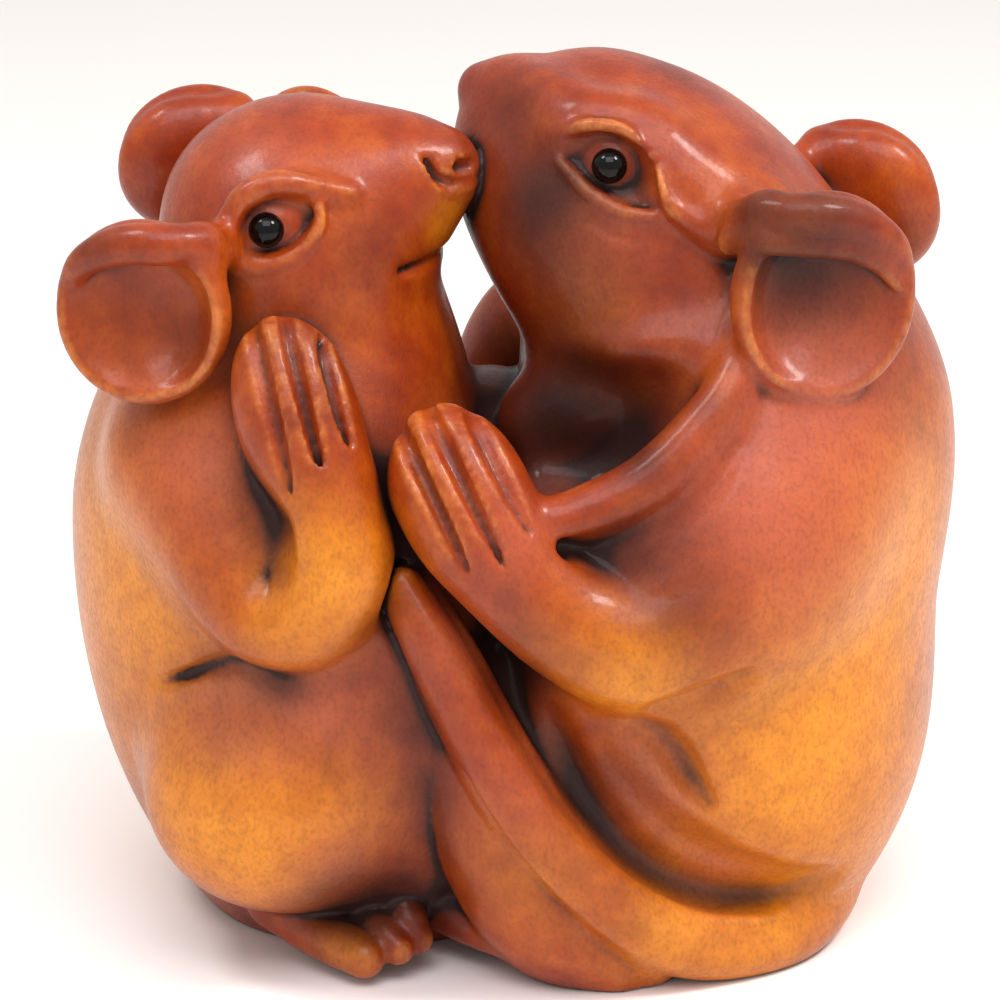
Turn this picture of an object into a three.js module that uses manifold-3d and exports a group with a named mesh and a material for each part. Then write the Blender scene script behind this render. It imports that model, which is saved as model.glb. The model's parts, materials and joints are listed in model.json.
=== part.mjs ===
// Netsuke of two rats, face to face, carved from one block of boxwood, with four black beads for eyes.
// Millimetres, +Z up, +X to the right as seen from the front, -Y towards the front.
// The flat underside lies on z = 0, and the origin is at its middle.
import * as THREE from 'three';
import { mergeVertices } from 'three/addons/utils/BufferGeometryUtils.js';
import Module from 'manifold-3d';

const wasm = await Module();
wasm.setup();

// ---------------------------------------------------------------- sizes
const cell = 0.5;               // spacing of the carving grid
const bodyTriangles = 8200;     // how finely the carved body is faceted
const room = { low: [-23.4, -19.2, -2.4], high: [24, 19.2, 45] };
const beadRadius = 0.85;        // eye bead
const beadGap = 0.15;           // clearance round a bead in its socket
const weld = 1e-3;              // points closer than this are one
const tailGroove = 0.15;        // how much wider than the tail its bed is cut
const farSide = [-0.92, -1, 1]; // the back repeats the front after half a turn, a little narrower

// The bodies: eggs, then faces planed off them.
const leftBody = {
  eggs: [{ centre: [-6.5, 0.5, 18.8], radii: [14.6, 14.6, 23], blend: 0 }],
  planes: [
    { point: [-17.5, 0, 31.5], outward: [-0.73, 0, 0.68], blend: 5 },
    { point: [-10, 0, 31.5], outward: [0.1, 0, 1], blend: 5 },
    { point: [-1, 0, 20], outward: [1, 0, 0.25], blend: 4 },
    { point: [-3, 9.5, 27], outward: [0.6, 0.7, 0.45], blend: 4 },
    { point: [-3, -9.5, 27], outward: [0.6, -0.7, 0.45], blend: 4 },
  ],
  chest: [[-9, -1.5, 22, 8], [-8.8, -2.5, 28, 6.4], [-9.2, -2.5, 33, 5.5]],
};
const rightBody = {
  eggs: [
    { centre: [8, 0.5, 19], radii: [13.7, 15, 27], blend: 0 },
    { centre: [11.4, 0.5, 10], radii: [9.2, 13.2, 10], blend: 3 },
  ],
  planes: [
    { point: [8, 0, 33], outward: [-0.3, 0, 1], blend: 5 },
    { point: [8, 13, 30], outward: [0, 0.75, 0.6], blend: 5 },
    { point: [8, -13, 30], outward: [0, -0.75, 0.6], blend: 5 },
    { point: [0, 0, 20], outward: [-1, 0, 0.25], blend: 4 },
  ],
  chest: [[12, -0.5, 24, 9], [9, -1, 31, 7.5], [8, -1, 34, 6.5]],
};
const core = { centre: [-0.5, 0.5, 12], radii: [7, 10.5, 15], blend: 1 };   // joins the two bellies
const rightNape = { point: [16.6, 0, 36.2], outward: [0.697, 0, 0.717], blend: 4 };

// The heads, in their own axes: forward, out to the side, up. Each row of a line ends with its radius.
const leftHead = {
  middle: [-10.2, -2.8, 36.2], forward: [15.5, -1.9, 2.8], up: [-0.17, -0.11, 0.98],
  masses: [
    { at: [-0.2, 0, -0.6], radii: [5.8, 6.2, 5.5] },
    { at: [0, 3, -2.5], radii: [5, 3.3, 4] },
    { at: [0, -3, -2.5], radii: [5, 3.3, 4] },
  ],
  muzzle: [{ line: [[2, 0, -0.5, 4.8], [5, 0, 0.1, 3.7], [7.3, 0, 0.5, 2.3]], blend: 2 }],
  brow: [[-2.4, 6, 0.3, 0.5], [-0.5, 6.2, 2.7, 0.65], [2.1, 5.4, 2.7, 0.6], [4.1, 4.5, 1.6, 0.3]],
  socket: [[-1.3, 6.9, 0.3, 0.8], [0, 7, 1, 1.25], [1.4, 6.7, 1.2, 1.1], [2.5, 6.1, 1.3, 0.6]],
  eyeball: { at: [0.3, 5.2, 1], radii: [1.6, 1.25, 1.3] }, bead: [0.3, 6.3, 1.1],
  lid: [[-1.8, 6.2, -0.1, 0.3], [0.5, 6.6, -0.5, 0.45], [2.7, 5.9, 0.8, 0.35]],
  mouth: [[5.2, 5, -2.4, 0.3], [7.3, 1.9, -3, 0.4], [7.7, 0, -3.1, 0.4]],
  nose: [[7.5, 2.1, 1.5, 0.25], [8.2, 2.1, 0.6, 0.3], [9.8, 0, 0.2, 0.3]],
};
const rightHead = {
  middle: [5.5, -0.4, 38], forward: [-19, 2.5, 6.2], up: [0.32, 0, 0.95],
  masses: [
    { at: [-2.5, 0, -1.4], radii: [9.4, 7.4, 6.7] },
    { at: [0, 3.3, -3.5], radii: [5, 4, 4.6] },
    { at: [0, -3.3, -3.5], radii: [5, 4, 4.6] },
  ],
  muzzle: [
    { line: [[1.5, 0, -1.4, 5.2], [3.6, 0, -0.8, 3.8], [5.3, 0, 0.6, 2.3], [7, 0, 1, 1.2]], blend: 2 },
    { line: [[5, 0, 0.3, 1.9], [3, 0, -2.6, 2.5]], blend: 1.5 },
  ],
  brow: [[2.6, 6, 1.1, 0.35], [-0.4, 6.8, 2.5, 0.6], [-1.7, 7.4, 1.7, 0.6], [-3.3, 7.6, 0.3, 0.6],
    [-7.2, 7.6, -0.2, 0.7]],
  socket: [[1.7, 7, 0.7, 0.5], [0.8, 7.7, 1, 1.2], [-0.5, 8, 0.9, 1.5], [-1.8, 8.2, 0.2, 0.9],
    [-2.7, 8.1, -0.3, 0.4]],
  eyeball: { at: [-0.1, 5.9, 0.8], radii: [1.5, 1.25, 1.3] }, bead: [-0.1, 7, 0.9],
  lid: [[2.2, 6.6, 0.3, 0.25], [-0.2, 7.5, -0.7, 0.4], [-2.8, 7.7, -0.5, 0.3]],
  ridge: [[6.2, 1.3, 2.1, 0.4], [4.9, 2.8, 2.7, 0.6], [3.3, 4.6, 3, 0.6], [1.4, 6, 3.1, 0.4]],
};

// The ears: a hollowed dish whose upper edge is rolled over. Places are parts of its half width and half height.
const earThickness = 1.9;
const earHollows = [
  { at: [0.9, -0.04, -0.04], deep: 1.8, across: 0.95, high: 0.94 },
  { at: [0.5, 0.34, -0.06], deep: 1.9, across: 0.48, high: 0.72 },   // deepest beside the face
];
const earRoll = [[-2.6, 0.72, 0.8, 0.8], [-0.8, 0.68, 0.8, 0.9], [0.2, 0.52, 0.78, 0.95], [0.6, 0.25, 0.78, 1],
  [0.6, -0.08, 0.76, 0.95], [0.4, -0.42, 0.65, 0.85], [0, -0.7, 0.47, 0.65], [-0.6, -0.86, 0.2, 0.4]];
const earFold = [[-0.6, 1, 0.5, 0.3], [0.1, 0.75, 0.48, 0.5], [0.4, 0.35, 0.52, 0.6], [0.45, -0.1, 0.5, 0.6],
  [0.2, -0.5, 0.36, 0.5], [-0.2, -0.78, 0.12, 0.3]];
const earRoot = [[-1.4, 0.6, 0, 0.8], [-3, 0.7, 0, 0.8], [-4.5, 0.7, 0, 0.8]];
const ears = {
  leftNear: {
    centre: [-16.5, -11.3, 33.1], facing: [-0.25, -1, 0.12], up: [0, 0, 1],
    size: [4.2, 4.3], towardsFace: 1, roll: 1, folded: false,
  },
  leftFar: {
    centre: [-15.2, 6.5, 36.3], facing: [-0.35, 1, 0.25], up: [0, 0, 1],
    size: [3.6, 3.6], towardsFace: -1, roll: 0.75, folded: false,
  },
  rightNear: {
    centre: [15, -11.2, 33.8], facing: [0.3, -1, 0.12], up: [0.1, 0, 1],
    size: [4.5, 4.9], towardsFace: -1, roll: 1.05, folded: true,
  },
  rightFar: {
    centre: [18.3, 6.8, 34], facing: [0.45, 1, 0.3], up: [0, 0, 1],
    size: [3.7, 4], towardsFace: 1, roll: 0.75, folded: true,
  },
};

// The limbs: lines of [x, y, z, radius] on the front, from the trunk outwards.
const raisedArm = {   // the hand lies on the rat's own cheek
  root: [[-14.8, -8, 25.2, 3.4], [-13.8, -10.4, 23.4, 2.8], [-12.9, -12, 21.3, 2.1]],
  line: [[-12.9, -12, 21.3, 2.1], [-11.4, -13, 19.3, 2.2], [-9, -13.6, 19.3, 2.5], [-7.6, -13.7, 21.6, 2.7],
    [-7.9, -13.4, 24.5, 2.6], [-9, -12.4, 28.4, 2.5], [-9.5, -11.6, 30.2, 2.2]],
  hollow: [[-11.7, -13.4, 27.8, 0.4], [-11.2, -14.8, 26, 1.1], [-10.5, -15.6, 23.3, 1.2], [-10, -16.2, 21.6, 0.4]],
  hand: {
    middle: [-9.5, -12.9, 28.9], towards: [-1.5, 2, 5.9], outward: [0, -1, 0.35],
    size: [4.5, 2.6, 1.9], gaps: [-0.78, -0.27, 0.3], gap: 0.4,
  },
};
const reachingArm = {   // the hand lies on the other rat's chest
  root: [[12.8, -7.6, 24.2, 5.6], [12, -10.2, 21.6, 5.2], [9.3, -12, 19, 4.2]],
  line: [[9.3, -12, 19, 4.2], [6.2, -13.6, 18.1, 3.4], [3.3, -14.2, 19.2, 2.8], [0.9, -14.2, 21.3, 2.7],
    [-0.9, -13.8, 23.5, 2.9], [-2.2, -13, 25.4, 2.8]],
  hollow: [[7.4, -15.6, 15.3, 0.5], [9.2, -15.6, 15.8, 0.7], [11.3, -15.3, 16.8, 0.4]],
  hand: {
    middle: [-1.6, -14, 25.3], towards: [-0.44, 0.4, 0.83], outward: [-0.1, -1, 0.45],
    size: [4.5, 2.9, 2.1], gaps: [-0.65, -0.08, 0.45], gap: 0.42,
  },
};
// The line of a gap between two fingers along the back of a hand: parts of the hand's length and of the gap's width.
const gapProfile = [[1, 1.1], [0.8, 1], [0.5, 1], [0.2, 0.95], [-0.2, 0.85], [-0.5, 0.65], [-0.85, 0.25]];
const thigh = { centre: [-10.5, -9, 9], radii: [6.6, 6, 6.1], tilt: -0.1, blend: 1.6 };
const thighCrease = [[-15.9, -9.9, 14.2, 0.2], [-13.5, -12.2, 16, 0.35], [-11.6, -12.9, 16.6, 0.4],
  [-10.1, -13.4, 15.9, 0.4]];
const foot = [
  [[-11, -8, 2.6, 1.4], [-8.5, -10, 1.8, 1.4], [-6.5, -12, 1.3, 1]],
  [[-7.6, -8, 3.1, 1.2], [-5.9, -10.5, 2.2, 1], [-4.9, -11.6, 1.6, 0.8]],
  [[-5.9, -7.5, 4, 1.2], [-4.6, -10, 2.7, 1], [-4, -10.8, 1.8, 0.8]],
  [[-3.9, -7, 3.2, 1.8], [-1.7, -9.3, 2.2, 1.2], [0.4, -11, 1.5, 0.7]],
];
const hindLeg = [[-2.1, -10.2, 14.3, 3], [0, -10, 9.3, 4], [2.8, -10, 4.7, 4.6], [5.2, -9.3, 2.6, 4.3]];
const knee = [[4, -11.2, 14.7, 2.4], [5.9, -12, 11.2, 2.2], [8.6, -11.4, 7.7, 1.8]];
const kneeHollow = [[2.4, -15.4, 15, 1.4], [4.1, -15.3, 12.2, 1.9], [6.5, -14.9, 8.8, 2.1], [10, -13.3, 5.9, 1.9],
  [13.6, -10.8, 4.4, 1.5]];
const kneeCrease = [[5.9, -14.7, 15.3, 0.3], [6.6, -14.6, 14.7, 0.45], [7.9, -14.4, 13.1, 0.55],
  [8.9, -14, 11.3, 0.5], [9.8, -13.5, 10.1, 0.3]];
const tail = [[-4.5, -13.2, 20.4, 1.1], [-2.9, -14.2, 17.6, 1.4], [-0.8, -14.8, 13.5, 1.5], [1.5, -14.7, 9.3, 1.6],
  [4.8, -13.5, 5.2, 1.8], [8.9, -11.7, 2.3, 2], [13.1, -9.2, 1.6, 2.1], [15.4, -5.8, 1.9, 2.1],
  [16.3, -1, 2.4, 2.1], [15.5, 4, 3.4, 2.2]];
const farTail = [...tail.slice(0, 8), [12.5, -2.5, 2.6, 1.5]];   // its root turns in under the left rat
const tailSeat = (rows) => rows.map(([x, y, z, r]) => [0.92 * x, 0.92 * y, 0.92 * z + 0.8, r + tailGroove + 0.15]);
const collar = [[11.2, -9, 33.1, 0.5], [10.8, -11.2, 30.1, 1], [9.3, -12.4, 27.9, 1.15], [6.8, -13.3, 25.6, 1.15],
  [3.8, -13.9, 24.3, 1.1], [2.3, -14.2, 24.1, 0.9]];
const collarGroove = [[2.9, -14.6, 22.9, 0.5], [5.2, -15, 23.1, 0.75], [7.7, -14.9, 24.2, 0.75],
  [9.6, -14.3, 25.8, 0.5], [10.9, -13.4, 27.6, 0.25]];
const throatHollow = [[-1.2, -9.8, 28, 2.8], [1.6, -10.4, 27.4, 3.9], [5, -11.9, 27.3, 3.8],
  [8.2, -13.2, 29.9, 2.6], [9.5, -12.8, 32.2, 1.2]];
const throat = [[6.6, -5.2, 27.4, 2.4], [4.4, -5.4, 27, 2.6], [2.1, -5, 26.2, 2.2]];
const farHollow = [[-1.4, -11, 28, 2.4], [3, -12.5, 28.5, 2.6]];

// ---------------------------------------------------------------- carving
const cross = (a, b) => [a[1] * b[2] - a[2] * b[1], a[2] * b[0] - a[0] * b[2], a[0] * b[1] - a[1] * b[0]];
const unit = (v) => v.map((c) => c / Math.hypot(...v));
const frame = (origin, forward, up) => {
  const f = unit(forward);
  const s = unit(cross(up, f));
  const u = cross(f, s);
  return { f, s, u, at: (a, b, c) => origin.map((o, i) => o + a * f[i] + b * s[i] + c * u[i]) };
};

// A shape is a list of { low, high, distance }, whose distances are negative inside.
function egg(centre, radii, forward = [1, 0, 0], up = [0, 0, 1]) {
  const { f, s, u } = frame(centre, forward, up);
  const [cx, cy, cz] = centre;
  const reach = [0, 1, 2].map((i) => Math.hypot(f[i] * radii[0], s[i] * radii[1], u[i] * radii[2]));
  const distance = (x, y, z) => {
    const dx = x - cx, dy = y - cy, dz = z - cz;
    const a = (dx * f[0] + dy * f[1] + dz * f[2]) / radii[0];
    const b = (dx * s[0] + dy * s[1] + dz * s[2]) / radii[1];
    const c = (dx * u[0] + dy * u[1] + dz * u[2]) / radii[2];
    const size = Math.hypot(a, b, c);
    const slope = Math.hypot(a / radii[0], b / radii[1], c / radii[2]) + 1e-6;
    return size * (size - 1) / slope;
  };
  return [{ low: centre.map((v, i) => v - reach[i]), high: centre.map((v, i) => v + reach[i]), distance }];
}

// A smooth line through the rows, with the radius run along it in the same way.
function smooth(rows, steps) {
  const mirror = (a, b) => a.map((v, i) => 2 * v - b[i]);
  const p = [mirror(rows[0], rows[1]), ...rows, mirror(rows[rows.length - 1], rows[rows.length - 2])];
  const line = [];
  for (let k = 0; k < rows.length - 1; k++) {
    for (let n = 0; n < steps; n++) {
      const t = n / steps;
      line.push(rows[0].map((_, i) => {
        const [a, b, c, d] = [p[k][i], p[k + 1][i], p[k + 2][i], p[k + 3][i]];
        return 0.5 * (2 * b + (c - a) * t + (2 * a - 5 * b + 4 * c - d) * t * t + (3 * b - a - 3 * c + d) * t ** 3);
      }));
    }
  }
  return [...line, rows[rows.length - 1]];
}

// A rounded limb of changing thickness: balls swept along a smooth line.
function limb(rows, grow = 0, steps = 4) {
  const line = rows.length > 2 ? smooth(rows, steps) : rows;
  return line.slice(1).map((b, k) => {
    const a = line[k];
    const ra = a[3] + grow, rb = b[3] + grow;
    const along = [b[0] - a[0], b[1] - a[1], b[2] - a[2]];
    const length = Math.hypot(...along) + 1e-9;
    const lean = Math.min(Math.max((rb - ra) / length, -0.9), 0.9);
    const shift = lean / Math.sqrt(1 - lean * lean);
    const distance = (x, y, z) => {
      const dx = x - a[0], dy = y - a[1], dz = z - a[2];
      const run = (dx * along[0] + dy * along[1] + dz * along[2]) / length;
      const off = Math.sqrt(Math.max(dx * dx + dy * dy + dz * dz - run * run, 0));
      const t = Math.min(Math.max((run + off * shift) / length, 0), 1);
      return Math.hypot(dx - t * along[0], dy - t * along[1], dz - t * along[2]) - (ra + (rb - ra) * t);
    };
    return {
      low: [0, 1, 2].map((i) => Math.min(a[i] - ra, b[i] - rb)),
      high: [0, 1, 2].map((i) => Math.max(a[i] + ra, b[i] + rb)),
      distance,
    };
  });
}

// Everything beyond a plane.
function beyond({ point, outward }) {
  const n = unit(outward);
  const distance = (x, y, z) => -((x - point[0]) * n[0] + (y - point[1]) * n[1] + (z - point[2]) * n[2]);
  return [{ low: [-99, -99, -99], high: [99, 99, 99], distance }];
}

// The lesser of two distances, with a rounded hollow where they are alike.
function softMin(a, b, blend) {
  const h = blend > 0 ? Math.max(blend - Math.abs(a - b), 0) / blend : 0;
  return Math.min(a, b) - h * h * blend / 4;
}

// A block of wood held as distances to its surface on a grid.
class Block {
  constructor({ low, high }, spacing) {
    this.low = low;
    this.cell = spacing;
    this.size = low.map((v, i) => Math.ceil((high[i] - v) / spacing) + 1);
    this.field = new Float32Array(this.size[0] * this.size[1] * this.size[2]).fill(12);
  }

  index(i, j, k) { return (i * this.size[1] + j) * this.size[2] + k; }

  spot(i, j, k) { return [this.low[0] + i * this.cell, this.low[1] + j * this.cell, this.low[2] + k * this.cell]; }

  // The grid ranges within pad of a box.
  span(low, high, pad) {
    const from = low.map((v, i) => Math.max(Math.floor((v - pad - this.low[i]) / this.cell), 0));
    const to = high.map((v, i) => Math.min(Math.ceil((v + pad - this.low[i]) / this.cell), this.size[i] - 1));
    return { from, to, count: from.map((v, i) => Math.max(to[i] - v + 1, 0)) };
  }

  // Measures a shape near itself, then changes the wood there with change(wood, shape).
  work(shape, blend, change) {
    const pad = blend + 2 * this.cell;
    const low = [0, 1, 2].map((i) => Math.min(...shape.map((s) => s.low[i])));
    const high = [0, 1, 2].map((i) => Math.max(...shape.map((s) => s.high[i])));
    const whole = this.span(low, high, pad);
    const [, cj, ck] = whole.count;
    const found = new Float32Array(whole.count[0] * cj * ck).fill(99);
    for (const piece of shape) {
      const { from, to } = this.span(piece.low, piece.high, pad);
      for (let i = from[0]; i <= to[0]; i++)
        for (let j = from[1]; j <= to[1]; j++)
          for (let k = from[2]; k <= to[2]; k++) {
            const at = ((i - whole.from[0]) * cj + j - whole.from[1]) * ck + k - whole.from[2];
            const d = piece.distance(this.low[0] + i * this.cell, this.low[1] + j * this.cell, this.low[2] + k * this.cell);
            if (d < found[at]) found[at] = d;
          }
    }
    found.forEach((d, n) => {
      if (d === 99) return;
      const k = n % ck, j = ((n - k) / ck) % cj, i = ((n - k) / ck - j) / cj;
      const at = this.index(i + whole.from[0], j + whole.from[1], k + whole.from[2]);
      this.field[at] = change(this.field[at], d);
    });
  }

  join(shape, blend) { this.work(shape, blend, (wood, d) => softMin(wood, d, blend)); }

  cut(shape, blend) { this.work(shape, blend, (wood, d) => -softMin(-wood, d, blend)); }

  merge(other, blend) {
    this.field = this.field.map((v, at) => softMin(v, other.field[at], blend));
  }
}

// The closed surface of a block: one point in each grid cube that the surface passes, joined across the grid
// edges it crosses.
function surface(block) {
  const { field, size } = block;
  const corners = [0, 1, 2, 3, 4, 5, 6, 7].map((c) => [c >> 2, (c >> 1) & 1, c & 1]);
  const offsets = corners.map((c) => block.index(...c));
  const joined = (mask) => {
    const members = offsets.map((_, c) => c).filter((c) => mask & (1 << c));
    const reached = new Set(members.slice(0, 1));
    for (const c of reached) for (const step of [1, 2, 4]) if (mask & (1 << (c ^ step))) reached.add(c ^ step);
    return reached.size === members.length;
  };
  const crossed = (mask) => [[1, 2], [2, 4], [1, 4]].some(([p, q]) => corners.some((_, c) => {
    const [here, across, beside, below] = [c, c ^ p ^ q, c ^ p, c ^ q].map((n) => (mask >> n) & 1);
    return here === across && beside === below && here !== beside;
  }));
  const oneSheet = Array.from({ length: 256 }, (_, mask) => joined(mask) && joined(255 - mask) && !crossed(mask));
  const maskAt = (at) => offsets.reduce((mask, o, c) => (field[at + o] < 0 ? mask | (1 << c) : mask), 0);
  const cubes = [];
  for (let i = 0; i < size[0] - 1; i++)
    for (let j = 0; j < size[1] - 1; j++)
      for (let k = 0; k < size[2] - 1; k++) cubes.push([i, j, k]);
  // Where two sheets would meet in one cube, its faintest corner of wood is taken off.
  for (let changed = true; changed;) {
    changed = false;
    for (const cube of cubes) {
      const at = block.index(...cube);
      if (oneSheet[maskAt(at)]) continue;
      const wood = offsets.filter((o) => field[at + o] < 0);
      const faintest = wood.reduce((best, o) => (field[at + o] > field[at + best] ? o : best));
      field[at + faintest] = 0.01;
      changed = true;
    }
  }
  const points = [];
  const made = new Map();
  for (const cube of cubes) {
    const at = block.index(...cube);
    const mask = maskAt(at);
    if (mask === 0 || mask === 255) continue;
    const sum = [0, 0, 0];
    let crossings = 0;
    for (let c = 0; c < 8; c++)
      for (const step of [1, 2, 4]) {
        if (c & step) continue;
        const va = field[at + offsets[c]], vb = field[at + offsets[c | step]];
        if (va < 0 === vb < 0) continue;
        const t = va / (va - vb);
        sum.forEach((_, i) => { sum[i] += corners[c][i] + t * (corners[c | step][i] - corners[c][i]); });
        crossings++;
      }
    made.set(at, points.length);
    points.push(sum.map((v, i) => block.low[i] + (cube[i] + v / crossings) * block.cell));
  }
  const faces = [];
  const along = [block.index(1, 0, 0), block.index(0, 1, 0), block.index(0, 0, 1)];
  for (const cube of cubes) {
    const at = block.index(...cube);
    for (let axis = 0; axis < 3; axis++) {
      const b = (axis + 1) % 3, c = (axis + 2) % 3;
      if (cube[b] === 0 || cube[c] === 0 || field[at] < 0 === field[at + along[axis]] < 0) continue;
      const ring = [at, at - along[b], at - along[b] - along[c], at - along[c]].map((n) => made.get(n));
      if (field[at] >= 0) ring.reverse();
      faces.push([ring[0], ring[1], ring[2]], [ring[0], ring[2], ring[3]]);
    }
  }
  return { points, faces };
}

// The largest connected surface alone, which fills any pocket left inside the wood.
function outside({ points, faces }) {
  const group = points.map((_, v) => v);
  const root = (v) => { while (group[v] !== v) v = group[v] = group[group[v]]; return v; };
  for (const [a, b, c] of faces) { group[root(a)] = root(b); group[root(b)] = root(c); }
  const count = new Map();
  for (const [a] of faces) count.set(root(a), (count.get(root(a)) ?? 0) + 1);
  const largest = [...count].reduce((best, entry) => (entry[1] > best[1] ? entry : best))[0];
  return { points, faces: faces.filter(([a]) => root(a) === largest) };
}

// Merges edges, least change of shape first, until no more than the wanted number of triangles is left.
function reduce({ points, faces }, wanted) {
  const quadric = points.map(() => new Float64Array(10));
  const around = points.map(() => new Set());
  const stamp = new Int32Array(points.length);
  const normalOf = (a, b, c) => cross([b[0] - a[0], b[1] - a[1], b[2] - a[2]], [c[0] - a[0], c[1] - a[1], c[2] - a[2]]);
  faces.forEach((face, n) => {
    const [a, b, c] = face.map((v) => points[v]);
    const raw = normalOf(a, b, c);
    const area = Math.hypot(...raw);
    face.forEach((v) => around[v].add(n));
    if (area < 1e-12) return;
    const [x, y, z] = raw.map((v) => v / area);
    const w = -(x * a[0] + y * a[1] + z * a[2]);
    const q = [x * x, x * y, x * z, x * w, y * y, y * z, y * w, z * z, z * w, w * w];
    face.forEach((v) => q.forEach((e, i) => { quadric[v][i] += e * area; }));
  });
  const error = (q, [x, y, z]) => q[0] * x * x + 2 * q[1] * x * y + 2 * q[2] * x * z + 2 * q[3] * x
    + q[4] * y * y + 2 * q[5] * y * z + 2 * q[6] * y + q[7] * z * z + 2 * q[8] * z + q[9];
  const plan = (a, b) => {
    const q = quadric[a].map((v, i) => v + quadric[b][i]);
    const middle = points[a].map((v, i) => (v + points[b][i]) / 2);
    const gap = Math.hypot(...points[a].map((v, i) => v - points[b][i]));
    const det = q[0] * (q[4] * q[7] - q[5] * q[5]) - q[1] * (q[1] * q[7] - q[5] * q[2])
      + q[2] * (q[1] * q[5] - q[4] * q[2]);
    let spots = [middle, points[a], points[b]];
    if (Math.abs(det) > 1e-5) {
      const [r, s, t] = [-q[3], -q[6], -q[8]];
      const best = [
        (r * (q[4] * q[7] - q[5] * q[5]) - q[1] * (s * q[7] - q[5] * t) + q[2] * (s * q[5] - q[4] * t)) / det,
        (q[0] * (s * q[7] - t * q[5]) - r * (q[1] * q[7] - q[5] * q[2]) + q[2] * (q[1] * t - s * q[2])) / det,
        (q[0] * (q[4] * t - q[5] * s) - q[1] * (q[1] * t - s * q[2]) + r * (q[1] * q[5] - q[4] * q[2])) / det,
      ];
      if (Math.hypot(...best.map((v, i) => v - middle[i])) < 1.5 * gap) spots = [best];
    }
    let spot = spots[0];
    for (const s of spots) if (error(q, s) < error(q, spot)) spot = s;
    return { a, b, spot, cost: error(q, spot) + 2e-4 * gap * gap, sa: stamp[a], sb: stamp[b] };
  };
  const heap = [];
  const push = (item) => {
    let n = heap.push(item) - 1;
    while (n > 0) {
      const up = (n - 1) >> 1;
      if (heap[up].cost <= heap[n].cost) break;
      [heap[up], heap[n]] = [heap[n], heap[up]];
      n = up;
    }
  };
  const pop = () => {
    const top = heap[0];
    const last = heap.pop();
    if (heap.length) {
      heap[0] = last;
      for (let n = 0; ;) {
        let least = n;
        for (const down of [2 * n + 1, 2 * n + 2]) {
          if (down < heap.length && heap[down].cost < heap[least].cost) least = down;
        }
        if (least === n) break;
        [heap[least], heap[n]] = [heap[n], heap[least]];
        n = least;
      }
    }
    return top;
  };
  const neighbours = (v) => {
    const found = new Set();
    for (const n of around[v]) for (const w of faces[n]) if (w !== v) found.add(w);
    return found;
  };
  points.forEach((_, a) => { for (const b of neighbours(a)) if (a < b) push(plan(a, b)); });
  let left = faces.length;
  // How full a triangle is: 1 is even-sided, 0 is a sliver.
  const fullness = ([a, b, c], area) => {
    const longest = Math.max(...[[a, b], [b, c], [c, a]].map(([p, q]) => Math.hypot(...p.map((v, i) => v - q[i]))));
    return area / (0.87 * longest * longest + 1e-12);
  };
  const turnsOver = (v, gone, spot) => {
    for (const n of around[v]) {
      if (faces[n].includes(gone)) continue;
      const before = faces[n].map((w) => points[w]);
      const after = faces[n].map((w) => (w === v ? spot : points[w]));
      const a = normalOf(...before), b = normalOf(...after);
      const la = Math.hypot(...a), lb = Math.hypot(...b);
      const full = fullness(before, la);
      if (fullness(after, lb) < Math.min(0.03, full)) return true;
      if (full > 0.1 && a[0] * b[0] + a[1] * b[1] + a[2] * b[2] < 0.2 * la * lb) return true;
    }
    return false;
  };
  while (left > wanted && heap.length) {
    const { a, b, spot, sa, sb } = pop();
    if (sa !== stamp[a] || sb !== stamp[b] || !around[a].size || !around[b].size) continue;
    const near = neighbours(a);
    if ([...neighbours(b)].filter((v) => near.has(v)).length !== 2) continue;
    if (turnsOver(a, b, spot) || turnsOver(b, a, spot)) continue;
    for (const n of around[b]) {
      if (faces[n].includes(a)) {
        for (const v of faces[n]) if (v !== b) around[v].delete(n);
        faces[n] = null;
        left--;
      } else {
        faces[n] = faces[n].map((v) => (v === b ? a : v));
        around[a].add(n);
      }
    }
    around[b].clear();
    points[a] = spot;
    quadric[a].forEach((v, i) => { quadric[a][i] = v + quadric[b][i]; });
    stamp[a]++;
    stamp[b]++;
    for (const v of neighbours(a)) push(plan(a, v));
  }
  return { points, faces: faces.filter(Boolean) };
}

const solid = ({ points, faces }) => {
  const used = new Map();
  for (const v of faces.flat()) if (!used.has(v)) used.set(v, used.size);
  const vertProperties = new Float32Array([...used.keys()].flatMap((v) => points[v]));
  const triVerts = new Uint32Array(faces.flat().map((v) => used.get(v)));
  return new wasm.Manifold(new wasm.Mesh({ numProp: 3, vertProperties, triVerts }));
};
const solidOf = (geometry) => {
  const bare = geometry.clone();
  bare.deleteAttribute('normal');
  bare.deleteAttribute('uv');
  const whole = mergeVertices(bare, weld);
  const vertProperties = whole.attributes.position.array;
  return new wasm.Manifold(new wasm.Mesh({ numProp: 3, vertProperties, triVerts: new Uint32Array(whole.index.array) }));
};
const surfaceOf = (manifold) => {
  const { vertProperties: p, triVerts: t } = manifold.getMesh();
  const rows = (list) => Array.from({ length: list.length / 3 }, (_, n) => [...list.subarray(3 * n, 3 * n + 3)]);
  return { points: rows(p), faces: rows(t) };
};
const geometryOf = (manifold) => {
  const mesh = manifold.getMesh();
  const geometry = new THREE.BufferGeometry();
  geometry.setAttribute('position', new THREE.BufferAttribute(mesh.vertProperties, 3));
  geometry.setIndex(new THREE.BufferAttribute(mesh.triVerts, 1));
  geometry.computeVertexNormals();
  return geometry;
};

// ---------------------------------------------------------------- the carving itself
const turned = (rows, far) => rows.map((row) => (far ? row.map((v, i) => v * (farSide[i] ?? 1)) : row));

function trunk({ eggs, planes, chest }) {
  const block = new Block(room, cell);
  for (const e of eggs) block.join(egg(e.centre, e.radii), e.blend);
  for (const p of planes) block.cut(beyond(p), p.blend);
  block.join(limb(chest), 4);
  return block;
}

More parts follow.
